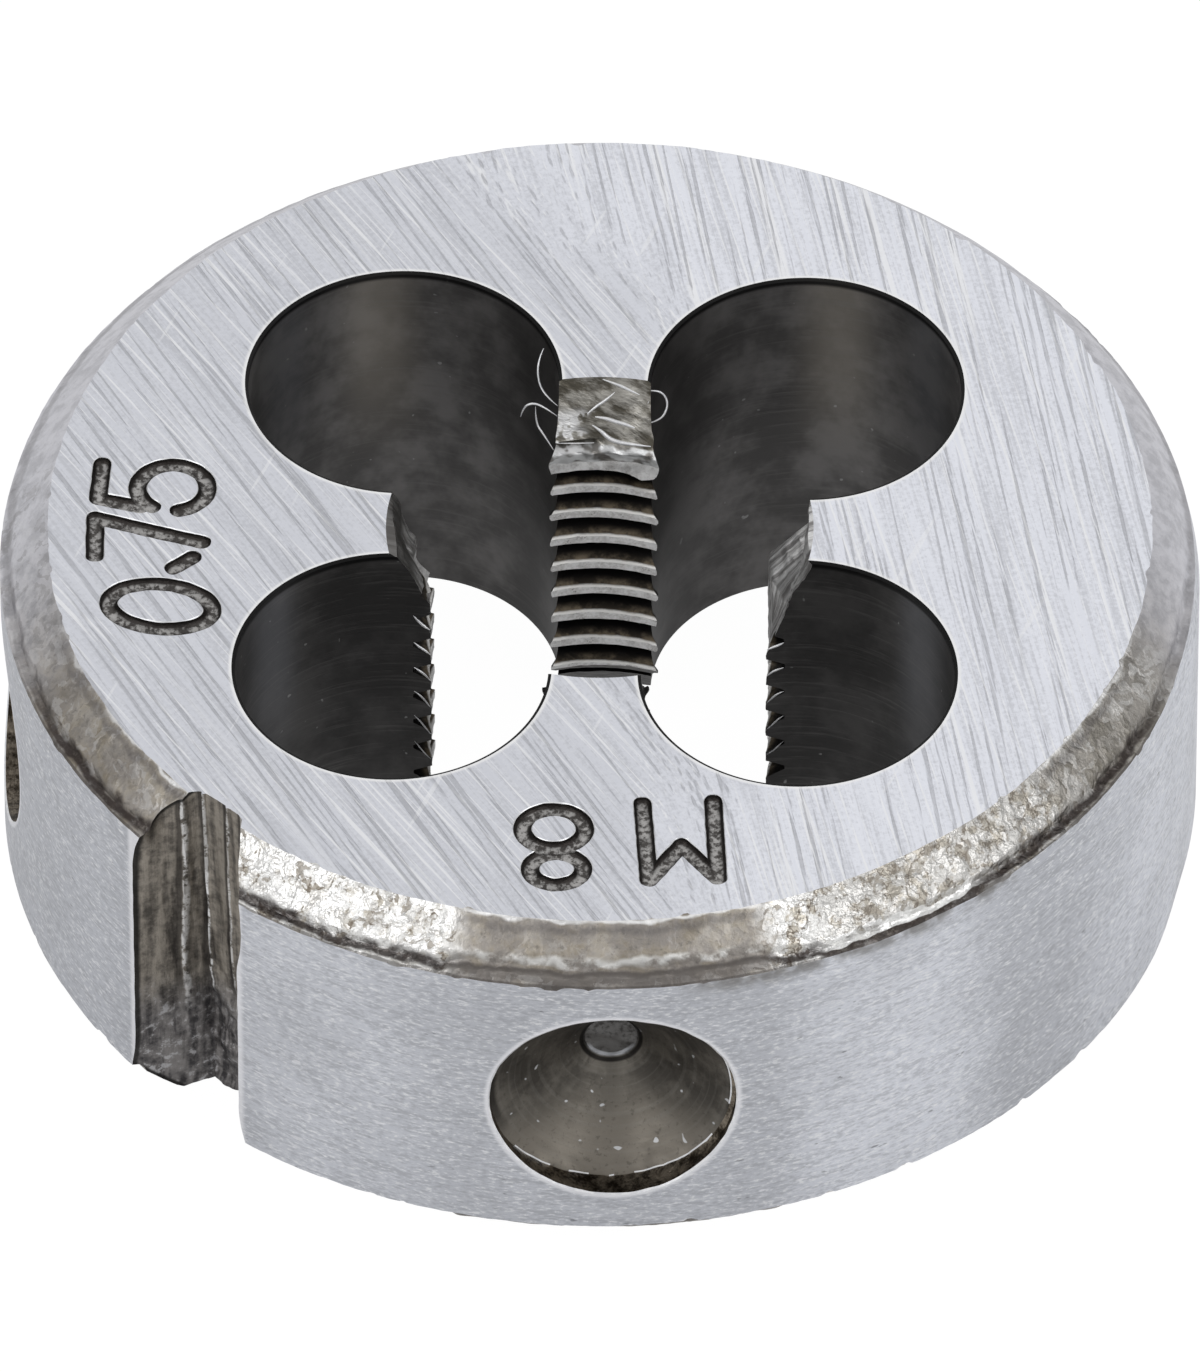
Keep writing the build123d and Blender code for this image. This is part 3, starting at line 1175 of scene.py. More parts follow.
def rim_scale_material(finish):
    """Chamfers: brown-grey skin, hammered in places and painted bright there as painted highlight, with
    painted light and shade on crumpled facets, bright edge lines of painted highlight and a dark band of
    painted shade in the sunken lower edge.
    """
    material, tree, shader = new_material("rim_scale")
    place = place_mm(tree)
    split = components(tree, place)
    radius = length(tree, place, (1, 1, 0))
    patches = cloud(tree, place, 0.8, 4.0, 0.6)
    grit = cloud(tree, place, 6.0, 4.0, 0.7)
    mottle = cloud(tree, place, 2.2, 4.0, 0.65)
    uneven = maths(tree, "SUBTRACT", mean(tree, patches, cloud(tree, place, 1.8, 1.5), 0.6), 0.5)
    along = maths(tree, "SUBTRACT", radius, DIE_RADIUS - 1)
    edge = maths(tree, "ADD", along, both(tree, uneven, 0.40))
    front = facing(tree, place, -90, 62, 18)
    middle = facing(tree, place, -87.5, 14, 3)
    left = facing(tree, place, -160, 24, 8)
    right = facing(tree, place, -32, 13, 9)
    # Hammered patches, which are painted bright further down as painted highlight
    worn = [
        facing(tree, place, (start + end) / 2, (end - start) / 2 - 1, 4) for start, end in HAMMERED
    ]
    worn = maths(tree, "MAXIMUM", worn[0], worn[1])
    facets, folds = crumple(tree, place)
    plain = maths(tree, "SUBTRACT", 1.0, worn)
    # Plain skin: tan in front, grey to the right, paler towards the back
    tan_skin = blend(tree, ramp(tree, patches, 0.40, 0.60), (0.30, 0.265, 0.215), (0.44, 0.40, 0.34))
    grey_skin = blend(tree, ramp(tree, mottle, 0.38, 0.62), (0.34, 0.33, 0.34), (0.56, 0.55, 0.58))
    skin = blend(tree, mean(tree, ramp(tree, mottle, 0.35, 0.65), front, 0.5), grey_skin, tan_skin)
    # Painted light and shade: darker and lighter crumpled facets on the skin
    skin = blend(tree, ramp(tree, facets, 0.44, 0.34, 0.0, 0.15), skin, shade(finish.scale, 0.4))
    skin = blend(tree, ramp(tree, facets, 0.58, 0.68, 0.0, 0.12), skin, (0.75, 0.74, 0.72))
    skin = blend(tree, ramp(tree, grit, 0.54, 0.70, 0.0, 0.5), skin, shade(finish.scale, 0.35))
    pale = blend(tree, ramp(tree, mottle, 0.36, 0.62), (0.68, 0.68, 0.72), (0.84, 0.84, 0.89))
    skin = blend(tree, ramp(tree, split[1], -5.2, 0.6, 0.0, 0.9), skin, pale)
    # Crumpled facets painted lit and shaded: bright where hammered and grey-brown on the right
    folded = blend(tree, ramp(tree, facets, 0.34, 0.44), (0.27, 0.255, 0.225), (0.42, 0.40, 0.37))
    folded = blend(tree, ramp(tree, facets, 0.56, 0.68), folded, (0.62, 0.61, 0.59))
    skin = blend(tree, both(tree, right, 0.75), skin, folded)
    # Painted shade in the facets' hollows and painted highlights on their peaks, on the left
    hollow_shade = both(tree, left, ramp(tree, facets, 0.42, 0.30), 0.25)
    skin = blend(tree, hollow_shade, skin, shade(finish.scale, 0.5))
    peak_highlight = both(tree, left, ramp(tree, facets, 0.58, 0.70), 0.2)
    skin = blend(tree, peak_highlight, skin, (0.75, 0.75, 0.76))
    # Hammered patches: nearly white as painted highlight, with tan patches, dark facets and creases of
    # painted shade, darker round -48 degrees and a painted highlight round -116 degrees
    spread = cloud(tree, place, 2.7, 4.0, 0.65)
    crease_shade = maths(tree, "ABSOLUTE", maths(tree, "SUBTRACT", cloud(tree, place, 2.3, 3.0, 0.6), 0.5))
    crease_shade = both(tree, ramp(tree, crease_shade, 0.034, 0.010), ramp(tree, spread, 0.42, 0.55))
    hammered_light_and_shade = blend(tree, ramp(tree, spread, 0.48, 0.60), (0.90, 0.895, 0.88), (0.60, 0.56, 0.49))
    hammered_light_and_shade = blend(tree, ramp(tree, facets, 0.34, 0.27, 0.0, 0.75), hammered_light_and_shade, (0.36, 0.32, 0.27))
    hammered_light_and_shade = blend(tree, both(tree, crease_shade, 0.8), hammered_light_and_shade, (0.20, 0.165, 0.13))
    hammered_light_and_shade = blend(tree, both(tree, facing(tree, place, -48, 16, 4), 0.38), hammered_light_and_shade, (0.3, 0.28, 0.25))
    lit = both(tree, facing(tree, place, -116, 12, 4), ramp(tree, facets, 0.34, 0.44), 0.6)
    hammered_light_and_shade = blend(tree, lit, hammered_light_and_shade, (0.98, 0.975, 0.96))
    colour = blend(tree, worn, skin, hammered_light_and_shade)
    # Bands along the chamfer
    soft = both(tree, band(tree, edge, 0.15, 0.01, 0.10), plain, front)
    colour = blend(tree, both(tree, soft, 0.5), colour, (0.15, 0.14, 0.14))
    # Painted highlight: a bright line along the chamfer's top edge, in front
    top = both(tree, band(tree, edge, 0.0, 0.01, 0.05), plain, front)
    colour = blend(tree, both(tree, top, 0.85), colour, (0.93, 0.93, 0.93))
    nick = both(tree, band(tree, edge, 0.61, 0.01, 0.07), middle, ramp(tree, mottle, 0.40, 0.60))
    colour = blend(tree, both(tree, nick, 0.8), colour, (0.85, 0.85, 0.84))
    # Painted highlight: a white line on the lower lip, round -58 degrees
    bright_lip_side = facing(tree, place, -58, 7, 3)
    white = both(tree, band(tree, edge, 0.80, 0.06, 0.02), bright_lip_side)
    # Painted shade: a dark band in the sunken lower edge, higher on the middle stretch and lower beside the
    # bright lip
    sunken_shade_place = maths(tree, "SUBTRACT", 0.84, both(tree, middle, 0.12))
    sunken_shade_place = maths(tree, "ADD", sunken_shade_place, both(tree, bright_lip_side, 0.09))
    sunken_shade = both(
        tree,
        band(tree, edge, sunken_shade_place, 0.05, 0.09),
        maths(tree, "MAXIMUM", front, 0.3),
        ramp(tree, grit, 0.25, 0.5, 0.6, 1.0),
        maths(tree, "SUBTRACT", 1.0, both(tree, middle, 0.7)),
    )
    # More painted shade in the sunken band on the middle stretch
    under = both(tree, band(tree, edge, 0.86, 0.10, 0.07), middle)
    colour = blend(tree, both(tree, under, 0.85), colour, (0.19, 0.175, 0.165))
    colour = blend(tree, both(tree, sunken_shade, 0.92), colour, (0.060, 0.048, 0.045))
    # Painted highlight on the lower lip
    colour = blend(tree, both(tree, white, 0.9), colour, (0.98, 0.98, 0.97))
    foot = both(tree, ramp(tree, edge, 0.86, 0.92), middle)
    foot_tone = blend(tree, ramp(tree, facets, 0.42, 0.58), (0.16, 0.145, 0.135), (0.50, 0.49, 0.48))
    colour = blend(tree, both(tree, foot, 0.25), colour, foot_tone)
    last = both(tree, ramp(tree, along, 0.95, 0.975), front)
    colour = blend(tree, both(tree, last, 0.7), colour, (0.10, 0.09, 0.085))
    light = both(tree, worn, ramp(tree, facets, 0.43, 0.5))
    roughness = ramp(tree, light, 0.0, 1.0, 0.5, 0.32)
    height = maths(tree, "ADD", both(tree, folds, 0.8), mean(tree, mottle, grit, 0.35))
    strength = maths(tree, "MAXIMUM", maths(tree, "MAXIMUM", both(tree, worn, 0.8), right), 0.35)
    finish_shader(tree, shader, colour, roughness, relief(tree, height, 0.08, strength))
    return material


def ground_rim_material(shape, finish):
    """Cylindrical rim, ground round and round, with short flecks, a brighter band of painted sheen and
    painted highlights beside the seats and the groove.
    """
    material, tree, shader = new_material("ground_rim")
    place = place_mm(tree)
    split = components(tree, place)
    broad = cloud(tree, place, 0.5, 3.0)
    rings = cloud(tree, stretched(tree, place, (0.9, 0.9, 7.0)), 1.0, 3.0, 0.65)
    fine = cloud(tree, stretched(tree, place, (5.5, 5.5, 17.0)), 1.0, 3.0, 0.65)
    flecks = cloud(tree, stretched(tree, place, (2.6, 2.6, 8.0)), 1.0, 2.0, 0.5)
    tone = mean(tree, rings, fine, 0.6)
    sheen = both(tree, facing(tree, place, -59, 2, 12), 0.65)
    sheen = maths(tree, "MAXIMUM", sheen, both(tree, facing(tree, place, -116, 4, 9), 0.3))
    sheen = maths(tree, "MAXIMUM", sheen, both(tree, facing(tree, place, -6, 12, 22), 0.7))
    base = blend(tree, sheen, finish.rim, shade(finish.rim, 1.45))
    colour = blend(tree, ramp(tree, tone, 0.38, 0.54, 0.36, 0.0), base, shade(finish.rim, 0.40))
    colour = blend(tree, ramp(tree, fine, 0.54, 0.66, 0.0, 0.5), colour, shade(finish.rim, 1.75))
    colour = blend(tree, ramp(tree, broad, 0.40, 0.66, 0.0, 0.14), colour, shade(finish.rim, 0.5))
    colour = blend(tree, ramp(tree, flecks, 0.66, 0.73, 0.0, 0.5), colour, (0.95, 0.95, 0.98))
    colour = blend(tree, ramp(tree, flecks, 0.29, 0.22, 0.0, 0.6), colour, shade(finish.rim, 0.25))
    # Darker brown band under the hammered edge
    brown_band = both(
        tree,
        facing(tree, place, -62, 14, 6),
        ramp(tree, split[2], DIE_HEIGHT - 1.5, DIE_HEIGHT - 1.05),
        ramp(tree, cloud(tree, place, 1.5, 3.0), 0.35, 0.6),
    )
    colour = blend(tree, both(tree, brown_band, 0.75), colour, shade(finish.scale, 0.45))
    # Painted highlight on the turned edges round the seats and beside the groove
    away = seat_distance(tree, place, shape)
    mouth = shape.seat_mouth / MM / 2
    side = maths(tree, "ABSOLUTE", components(tree, groove_turned(tree, place, shape))[1])
    beside = shape.groove_mouth / MM / 2
    seat_highlight = ramp(tree, away, mouth + 0.16, mouth + 0.06)
    pale = maths(tree, "MAXIMUM", seat_highlight, ramp(tree, side, beside + 0.2, beside + 0.05))
    near = facing(tree, place, math.degrees(shape.groove_angle), 70, 8)
    colour = blend(tree, both(tree, pale, near, 0.7), colour, (0.95, 0.95, 0.98))
    normal = relief(tree, tone, 0.012, 0.6)
    finish_shader(tree, shader, colour, ramp(tree, rings, 0.3, 0.7, 0.36, 0.48), normal)
    return material


def hole_wall_material(shape, finish):
    """Chip holes: blackened, turned round and round, with a few specks; the back holes are painted lighter
    as painted light, soft upright bands are painted sheen and a black line of painted shade runs under the
    rim.
    """
    material, tree, shader = new_material("hole_wall")
    place = place_mm(tree)
    split = components(tree, place)
    local = components(tree, hole_place(tree, place, shape))
    soot = cloud(tree, place, 0.7, 4.0, 0.6)
    rings = cloud(tree, stretched(tree, place, (0.5, 0.5, 13.0)), 1.0, 3.0, 0.7)
    specks = cloud(tree, place, 5.5, 1.0, 0.4)
    # Painted light: the back holes are painted lighter than the front ones
    back = ramp(tree, split[1], -0.5, 0.5)
    dark = blend(tree, back, shade(finish.dark, 0.62), shade(finish.dark, 1.15))
    light = blend(tree, back, shade(finish.dark, 1.15), shade(finish.dark, 2.4))
    colour = blend(tree, ramp(tree, soot, 0.38, 0.66), dark, light)
    # Painted sheen: soft warm and cool upright bands on the upper walls, the warm one on the back holes
    upper = ramp(tree, split[2], 3.0, 7.0)
    warm = both(tree, band(tree, local[0], 0.6, 0.15, 1.1), upper, back)
    colour = blend(tree, both(tree, warm, 0.5), colour, (0.33, 0.30, 0.255))
    cool_sheen = both(tree, band(tree, local[0], 2.55, 0.1, 0.6), upper)
    colour = blend(tree, both(tree, cool_sheen, 0.35), colour, (0.27, 0.28, 0.31))
    colour = blend(tree, ramp(tree, rings, 0.54, 0.66, 0.0, 0.25), colour, (0.24, 0.235, 0.23))
    colour = blend(tree, ramp(tree, specks, 0.76, 0.82, 0.0, 0.6), colour, (0.5, 0.5, 0.5))
    beside = ramp(tree, maths(tree, "ABSOLUTE", split[0]), 2.5, 1.4, 0.0, 0.6)
    colour = blend(tree, beside, colour, shade(finish.dark, 0.55))
    # Painted shade: a black line just under the rim
    edge = ramp(tree, split[2], DIE_HEIGHT - 0.20, DIE_HEIGHT - 0.09, 0.0, 0.95)
    colour = blend(tree, edge, colour, (0.004, 0.004, 0.004))
    finish_shader(tree, shader, colour, 0.40, relief(tree, mean(tree, rings, soot), 0.015, 0.6), 0.75)
    return material


def worn_steel(name, dark, light, size, depth, roughness, metallic=1.0):
    """Rough cut steel whose tone wanders between two colours."""
    material, tree, shader = new_material(name)
    place = place_mm(tree)
    patches = cloud(tree, place, 1 / size, 4.0, 0.6)
    grit = cloud(tree, place, 5 / size, 3.0, 0.6)
    mixed = mean(tree, patches, grit, 0.35)
    colour = blend(tree, ramp(tree, mixed, 0.38, 0.62), dark, light)
    rough = ramp(tree, patches, 0.3, 0.7, roughness - 0.08, roughness + 0.08)
    finish_shader(tree, shader, colour, rough, relief(tree, mixed, depth, 0.8), metallic)
    return material


def flank_material(shape):
    """Thread flanks: rubbed bright at the crest, brown beside it and painted black towards the root as
    painted shade.
    """
    material, tree, shader = new_material("thread_flank")
    place = place_mm(tree)
    radius = length(tree, place, (1, 1, 0))
    patches = cloud(tree, place, 2.5, 4.0, 0.65)
    root = shape.thread_major / MM / 2
    brown = blend(tree, ramp(tree, patches, 0.4, 0.65), (0.035, 0.028, 0.020), (0.19, 0.155, 0.11))
    # Painted shade: black towards the root
    colour = blend(tree, ramp(tree, radius, root - 0.34, root - 0.16), brown, (0.005, 0.004, 0.004))
    rubbed = ramp(tree, maths(tree, "ADD", radius, both(tree, patches, 0.06)), root - 0.30, root - 0.35)
    colour = blend(tree, rubbed, colour, (0.88, 0.87, 0.85))
    finish_shader(tree, shader, colour, 0.4, relief(tree, patches, 0.02, 0.8), 0.75)
    return material


def lead_material():
    """Torn lead-in cones: brown-grey at the back, pale and fibrous at the sides, with painted shade below
    and along the left land's upper edge.
    """
    material, tree, shader = new_material("torn_lead")
    place = place_mm(tree)
    split = components(tree, place)
    slanted = add(
        tree, "ShaderNodeMapping", {"Vector": place, "Rotation": (0, -math.radians(20), 0)}
    ).outputs[0]
    patches = cloud(tree, stretched(tree, slanted, (1.5, 1.0, 4.2)), 1.0, 4.0, 0.65)
    fibres = cloud(tree, stretched(tree, place, (0.5, 6.0, 0.5)), 1.0, 4.0, 0.6)
    blots = cloud(tree, place, 3.0, 2.0, 0.5)
    aside = ramp(tree, maths(tree, "ABSOLUTE", split[0]), 1.8, 2.4)
    low = ramp(tree, split[2], 2.4, 1.4)
    colour = blend(tree, ramp(tree, patches, 0.38, 0.64), (0.11, 0.10, 0.08), (0.46, 0.445, 0.41))
    crushed = both(tree, band(tree, split[2], 7.4, 0.34, 0.05), ramp(tree, split[1], 2.0, 2.5))
    band_tone = blend(tree, ramp(tree, blots, 0.40, 0.56), (0.22, 0.21, 0.20), (0.66, 0.67, 0.68))
    colour = blend(tree, both(tree, crushed, 0.9), colour, band_tone)
    corner = both(
        tree,
        ramp(tree, maths(tree, "ADD", split[0], both(tree, patches, 0.9)), 0.12, -0.12),
        band(tree, split[2], 8.05, 0.22, 0.25),
        ramp(tree, blots, 0.42, 0.48),
        ramp(tree, split[1], 2.0, 2.5),
    )
    colour = blend(tree, both(tree, corner, 0.9), colour, (0.97, 0.97, 0.98))
    pale = blend(tree, ramp(tree, fibres, 0.38, 0.60), (0.34, 0.33, 0.33), (1.0, 1.0, 1.0))
    pale = blend(tree, ramp(tree, split[0], 0.5, -0.5, 0.0, 0.35), pale, (0.18, 0.17, 0.16))
    # Painted shade on the left land's upper edge
    left_edge_shade = both(tree, ramp(tree, split[2], 8.0, 8.5), ramp(tree, split[0], -2.0, -2.5))
    pale = blend(tree, both(tree, left_edge_shade, 0.85), pale, (0.085, 0.080, 0.075))
    colour = blend(tree, aside, colour, pale)
    # Painted shade: the lower lead-in, deep in the bore, is painted nearly black
    colour = blend(tree, both(tree, low, 0.85), colour, (0.03, 0.027, 0.03))
    height = blend(tree, aside, patches, fibres)
    finish_shader(tree, shader, colour, 0.36, relief(tree, height, 0.05, 0.8), 0.85)
    return material


def groove_wall_material(shape):
    """Groove: brown, with bright ridge lines of painted highlight and painted shade beside them above,
    crumbled grey specks below and a dark line of painted shade round the mouth.
    """
    material, tree, shader = new_material("groove_wall")
    place = place_mm(tree)
    turned = groove_turned(tree, place, shape)
    split = components(tree, turned)
    across, height = split[1], split[2]
    wobble = cloud(tree, stretched(tree, turned, (1.0, 1.0, 0.8)), 1.0, 4.0, 0.7)
    lean = both(tree, maths(tree, "SUBTRACT", height, DIE_HEIGHT), GROOVE_LEAN)
    grit = cloud(tree, place, 4.0, 4.0, 0.7)
    streaks = cloud(tree, stretched(tree, turned, (3.0, 6.0, 0.4)), 1.0, 3.0, 0.6)
    tone = mean(tree, streaks, grit, 0.45)
    low = ramp(tree, maths(tree, "ADD", height, both(tree, wobble, 1.5)), 4.4, 3.0)
    above = ramp(tree, maths(tree, "ADD", height, both(tree, wobble, 1.2)), 2.6, 4.2)
    colour = blend(tree, ramp(tree, tone, 0.36, 0.62), (0.085, 0.076, 0.066), (0.36, 0.325, 0.28))
    grey = blend(tree, ramp(tree, tone, 0.38, 0.60), (0.055, 0.052, 0.055), (0.29, 0.275, 0.27))
    colour = blend(tree, low, colour, grey)
    specks = both(tree, ramp(tree, grit, 0.56, 0.66), low)
    colour = blend(tree, both(tree, specks, 0.7), colour, (0.62, 0.62, 0.64))
    wander = both(tree, maths(tree, "SUBTRACT", wobble, 0.5), 0.12)
    across = maths(tree, "ADD", maths(tree, "SUBTRACT", across, lean), wander)
    # Painted highlight on each ridge's crest and painted shade in the strip beside it, on the upper groove
    for middle, ridge in GROOVE_RIDGES:
        ridge_shade = both(tree, band(tree, across, middle - 0.08, 0.02, 0.05), above)
        colour = blend(tree, both(tree, ridge_shade, 0.75), colour, (0.022, 0.018, 0.016))
        line = both(tree, band(tree, across, middle, 0.014, 0.030), ramp(tree, grit, 0.40, 0.52), above)
        colour = blend(tree, both(tree, line, min(1.0, ridge * 10)), colour, (0.90, 0.90, 0.90))
    # Painted shade: a dark line round the groove's mouth
    beyond = maths(tree, "ABSOLUTE", maths(tree, "SUBTRACT", height, DIE_HEIGHT / 2))
    beyond = maths(tree, "MAXIMUM", maths(tree, "SUBTRACT", beyond, DIE_HEIGHT / 2 - 1), 0.0)
    mouth = maths(tree, "ADD", length(tree, place, (1, 1, 0)), beyond)
    outline = ramp(tree, mouth, DIE_RADIUS - 0.16, DIE_RADIUS - 0.07, 0.0, 0.93)
    colour = blend(tree, outline, colour, (0.010, 0.009, 0.008))
    finish_shader(tree, shader, colour, 0.42, relief(tree, tone, 0.05, 0.8), 0.8)
    return material


def cone_material(shape):
    """Seat cones: warm grey satin with faint turning rings, a few glints, painted shade round the pilot and
    a painted highlight on the pilot's lower edge.
    """
    material, tree, shader = new_material("seat_cone")
    place = place_mm(tree)
    height = components(tree, place)[2]
    radius = seat_distance(tree, place, shape)
    soot = cloud(tree, place, 1.1, 4.0, 0.6)
    grit = cloud(tree, place, 9.0, 3.0, 0.6)
    specks = cloud(tree, place, 5.2, 0.0)
    turning = {"W": maths(tree, "MULTIPLY", radius, 9.0), "Scale": 1.0, "Detail": 3.0}
    rings = add(tree, "ShaderNodeTexNoise", turning, noise_dimensions="1D").outputs["Fac"]
    colour = blend(tree, ramp(tree, soot, 0.38, 0.62), (0.070, 0.064, 0.056), (0.150, 0.138, 0.120))
    lower = ramp(tree, maths(tree, "ADD", height, both(tree, soot, 1.2)), 4.4, 3.2)
    colour = blend(tree, both(tree, lower, 0.7), colour, (0.26, 0.235, 0.20))
    colour = blend(tree, ramp(tree, rings, 0.5, 0.66, 0.0, 0.15), colour, (0.24, 0.23, 0.21))
    colour = blend(tree, ramp(tree, grit, 0.56, 0.70, 0.0, 0.4), colour, (0.06, 0.055, 0.045))
    colour = blend(tree, ramp(tree, specks, 0.79, 0.83, 0.0, 0.7), colour, (0.75, 0.77, 0.8))
    mouth = shape.seat_mouth / MM / 2
    shadow = both(tree, ramp(tree, radius, mouth - 0.16, mouth - 0.07), ramp(tree, height, 3.2, 4.2))
    colour = blend(tree, both(tree, shadow, 0.85), colour, (0.015, 0.013, 0.011))
    pilot = shape.seat_pilot / MM / 2
    foot = ramp(tree, radius, pilot, pilot - 0.03)
    dusty = ramp(tree, mean(tree, soot, grit), 0.42, 0.58)
    flat = blend(tree, dusty, (0.055, 0.052, 0.050), (0.15, 0.147, 0.144))
    colour = blend(tree, foot, colour, flat)
    # Painted shade in the corner where the cone meets the pilot
    colour = blend(tree, band(tree, radius, pilot + 0.03, 0.02, 0.04), colour, (0.02, 0.018, 0.016))
    # Painted highlight on the pilot's lower edge
    low_edge_highlight = both(tree, band(tree, radius, pilot - 0.07, 0.02, 0.04), ramp(tree, height, 4.35, 4.1))
    colour = blend(tree, both(tree, low_edge_highlight, 0.8), colour, (0.6, 0.62, 0.66))
    bumps = mean(tree, rings, grit, 0.6)
    finish_shader(tree, shader, colour, 0.42, relief(tree, bumps, 0.008, 0.6), 0.85)
    return material


def mark_material(shape):
    """Stamped strokes: walls painted nearly black as painted shade, over a scratched grey floor whose light
    patches are painted glints.
    """
    material, tree, shader = new_material("stamped_mark")
    place = place_mm(tree)
    height = components(tree, place)[2]
    patches = cloud(tree, place, 7.5, 4.0, 0.65)
    # Painted glints: light patches on the stroke's floor; painted shade: nearly black walls
    floor = blend(tree, ramp(tree, patches, 0.42, 0.60), (0.08, 0.074, 0.070), (0.46, 0.45, 0.44))
    depth = shape.mark_stroke / MM * 0.4
    share = ramp(tree, height, DIE_HEIGHT - depth * 0.78, DIE_HEIGHT - depth * 1.05)
    colour = blend(tree, share, (0.030, 0.026, 0.024), floor)
    finish_shader(tree, shader, colour, 0.36, relief(tree, patches, 0.03, 0.8), 0.8)
    return material


def burnished_highlight_material(name):
    """Edges and burrs that were rubbed bright, and painted nearly white as painted highlight."""
    material, tree, shader = new_material(name)
    place = place_mm(tree)
    grit = cloud(tree, place, 6.0, 3.0, 0.6)
    # Painted highlight: nearly white colour on the rubbed edges and burrs
    colour = blend(tree, ramp(tree, grit, 0.35, 0.65), (0.80, 0.81, 0.84), (0.97, 0.975, 0.99))
    finish_shader(tree, shader, colour, 0.32, relief(tree, grit, 0.01, 0.6), 0.45)
    return material


def zone_materials(shape, finish):
    """One material for each zone, in the zones' order."""
    return [
        ground_face_material(shape, finish),
        rim_scale_material(finish),
        ground_rim_material(shape, finish),
        hole_wall_material(shape, finish),
        flank_material(shape),
        worn_steel("tooth_crest", (0.62, 0.61, 0.60), (0.96, 0.96, 0.96), 0.35, 0.02, 0.34, 0.6),
        lead_material(),
        groove_wall_material(shape),
        cone_material(shape),
        worn_steel("seat_wall", (0.05, 0.04, 0.03), (0.30, 0.26, 0.21), 0.3, 0.05, 0.36),
        mark_material(shape),
        burnished_highlight_material("burnished_edge_highlight"),
    ]


def set_edges(mesh, angle):
    """Smooth faces that break at edges sharper than angle, and sooner between two zones."""
    bm = bmesh.new()
    bm.from_mesh(mesh)
    for face in bm.faces:
        face.smooth = True
    for edge in bm.edges:
        if len(edge.link_faces) == 2:
            edge.smooth = edge.calc_face_angle(0) < angle
            if edge.link_faces[0].material_index != edge.link_faces[1].material_index:
                edge.smooth = edge.smooth and edge.calc_face_angle(0) < ZONE_EDGE
    bm.to_mesh(mesh)
    bm.free()


# ---------------------------------------------------------------- operators


class DIE_OT_body(bpy.types.Operator):
    """Shapes the die's body, cuts its holes, thread, groove, seats and marks, and finishes it"""

    bl_idname = "die.body"
    bl_label = "Die body"

    def execute(self, context):
        shape = context.scene.die_shape
        body = blank(shape)
        for material in zone_materials(shape, context.scene.die_finish):
            body.data.materials.append(material)
        cutters = [bore(shape), tap(shape), *chip_holes(shape), groove(shape)]
        cutters += [seat(shape, azimuth) for azimuth in seat_azimuths(shape)]
        cutters += stamp_cutters(shape)
        carve(body, cutters)
        if not body.data.polygons:
            raise RuntimeError("the die's body was cut away")
        set_edges(body.data, BODY_EDGE)
        body.data.validate()
        body.data.transform(Matrix.Scale(MM, 4))
        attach(body, "root")
        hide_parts("die_body")
        return {"FINISHED"}


class DIE_OT_burrs(bpy.types.Operator):
    """Adds the fine curled burrs on the back land and along the side lands' teeth"""

    bl_idname = "die.burrs"
    bl_label = "Cutting burrs"

    def execute(self, context):
        burrs = mesh_object(burr_mesh(context.scene.die_shape), "cutting_burrs")
        if not burrs.data.polygons:
            raise RuntimeError("the burrs have no faces")
        burrs.data.materials.append(burnished_highlight_material("burr_steel"))
        set_edges(burrs.data, BURR_EDGE)
        burrs.data.transform(Matrix.Scale(MM, 4))
        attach(burrs, "root")
        return {"FINISHED"}


class DIE_OT_studio(bpy.types.Operator):
    """Sets the pale floor, the soft lamps, the dome light and the camera"""

    bl_idname = "die.studio"
    bl_label = "Studio"

    def execute(self, context):
        studio = context.scene.die_studio
        lay_floor()
        set_world(studio)
        middle = Vector((0, 0, DIE_HEIGHT / 2 * MM))
        soft_lamp("back_lamp", middle, (0.0, 0.707, 0.707), 0.8, 0.8, studio.back_lamp)
        soft_lamp("left_lamp", middle, (-0.57, -0.515, 0.64), 0.7, 0.5, studio.side_lamp)
        soft_lamp("right_lamp", middle, (0.66, -0.435, 0.61), 0.7, 0.5, studio.side_lamp)
        context.scene.camera = aim_camera(studio, middle)
        return {"FINISHED"}


def lay_floor():
    """Pale floor that the camera sees as white, apart from the die's soft shadow."""
    bm = bmesh.new()
    bmesh.ops.create_grid(bm, x_segments=1, y_segments=1, size=FLOOR_SIZE)
    bmesh.ops.translate(bm, verts=bm.verts, vec=(0, 0, -FLOOR_GAP))
    floor = mesh_object(bm, "studio_floor")
    material, tree, shader = new_material("pale_floor")
    rays = add(tree, "ShaderNodeLightPath")
    seen = maths(tree, "MAXIMUM", rays.outputs["Is Camera Ray"], rays.outputs["Is Transmission Ray"])
    tone = blend(tree, seen, (0.5, 0.5, 0.5), (0.06, 0.06, 0.06))
    tree.links.new(tone, shader.inputs["Base Color"])
    shader.inputs["Roughness"].default_value = 0.9
    shader.inputs["Specular IOR Level"].default_value = 0.0
    shader.inputs["Emission Color"].default_value = (1, 1, 1, 1)
    glow = maths(tree, "MULTIPLY", rays.outputs["Is Glossy Ray"], 0.33)
    glow = maths(tree, "ADD", glow, maths(tree, "MULTIPLY", seen, 0.98))
    tree.links.new(glow, shader.inputs["Emission Strength"])
    floor.data.materials.append(material)


def set_world(studio):
    """Even dome light that the camera sees as white."""
    world = bpy.data.worlds.new("dome")
    bpy.context.scene.world = world
    world.use_nodes = True
    tree = world.node_tree
    tree.nodes.clear()
    rays = add(tree, "ShaderNodeLightPath")
    strength = ramp(tree, rays.outputs["Is Camera Ray"], 0, 1, studio.world_strength, 1.0, False)
    light = add(tree, "ShaderNodeBackground", {"Color": (1, 1, 1, 1), "Strength": strength})
    add(tree, "ShaderNodeOutputWorld", {"Surface": light.outputs[0]})


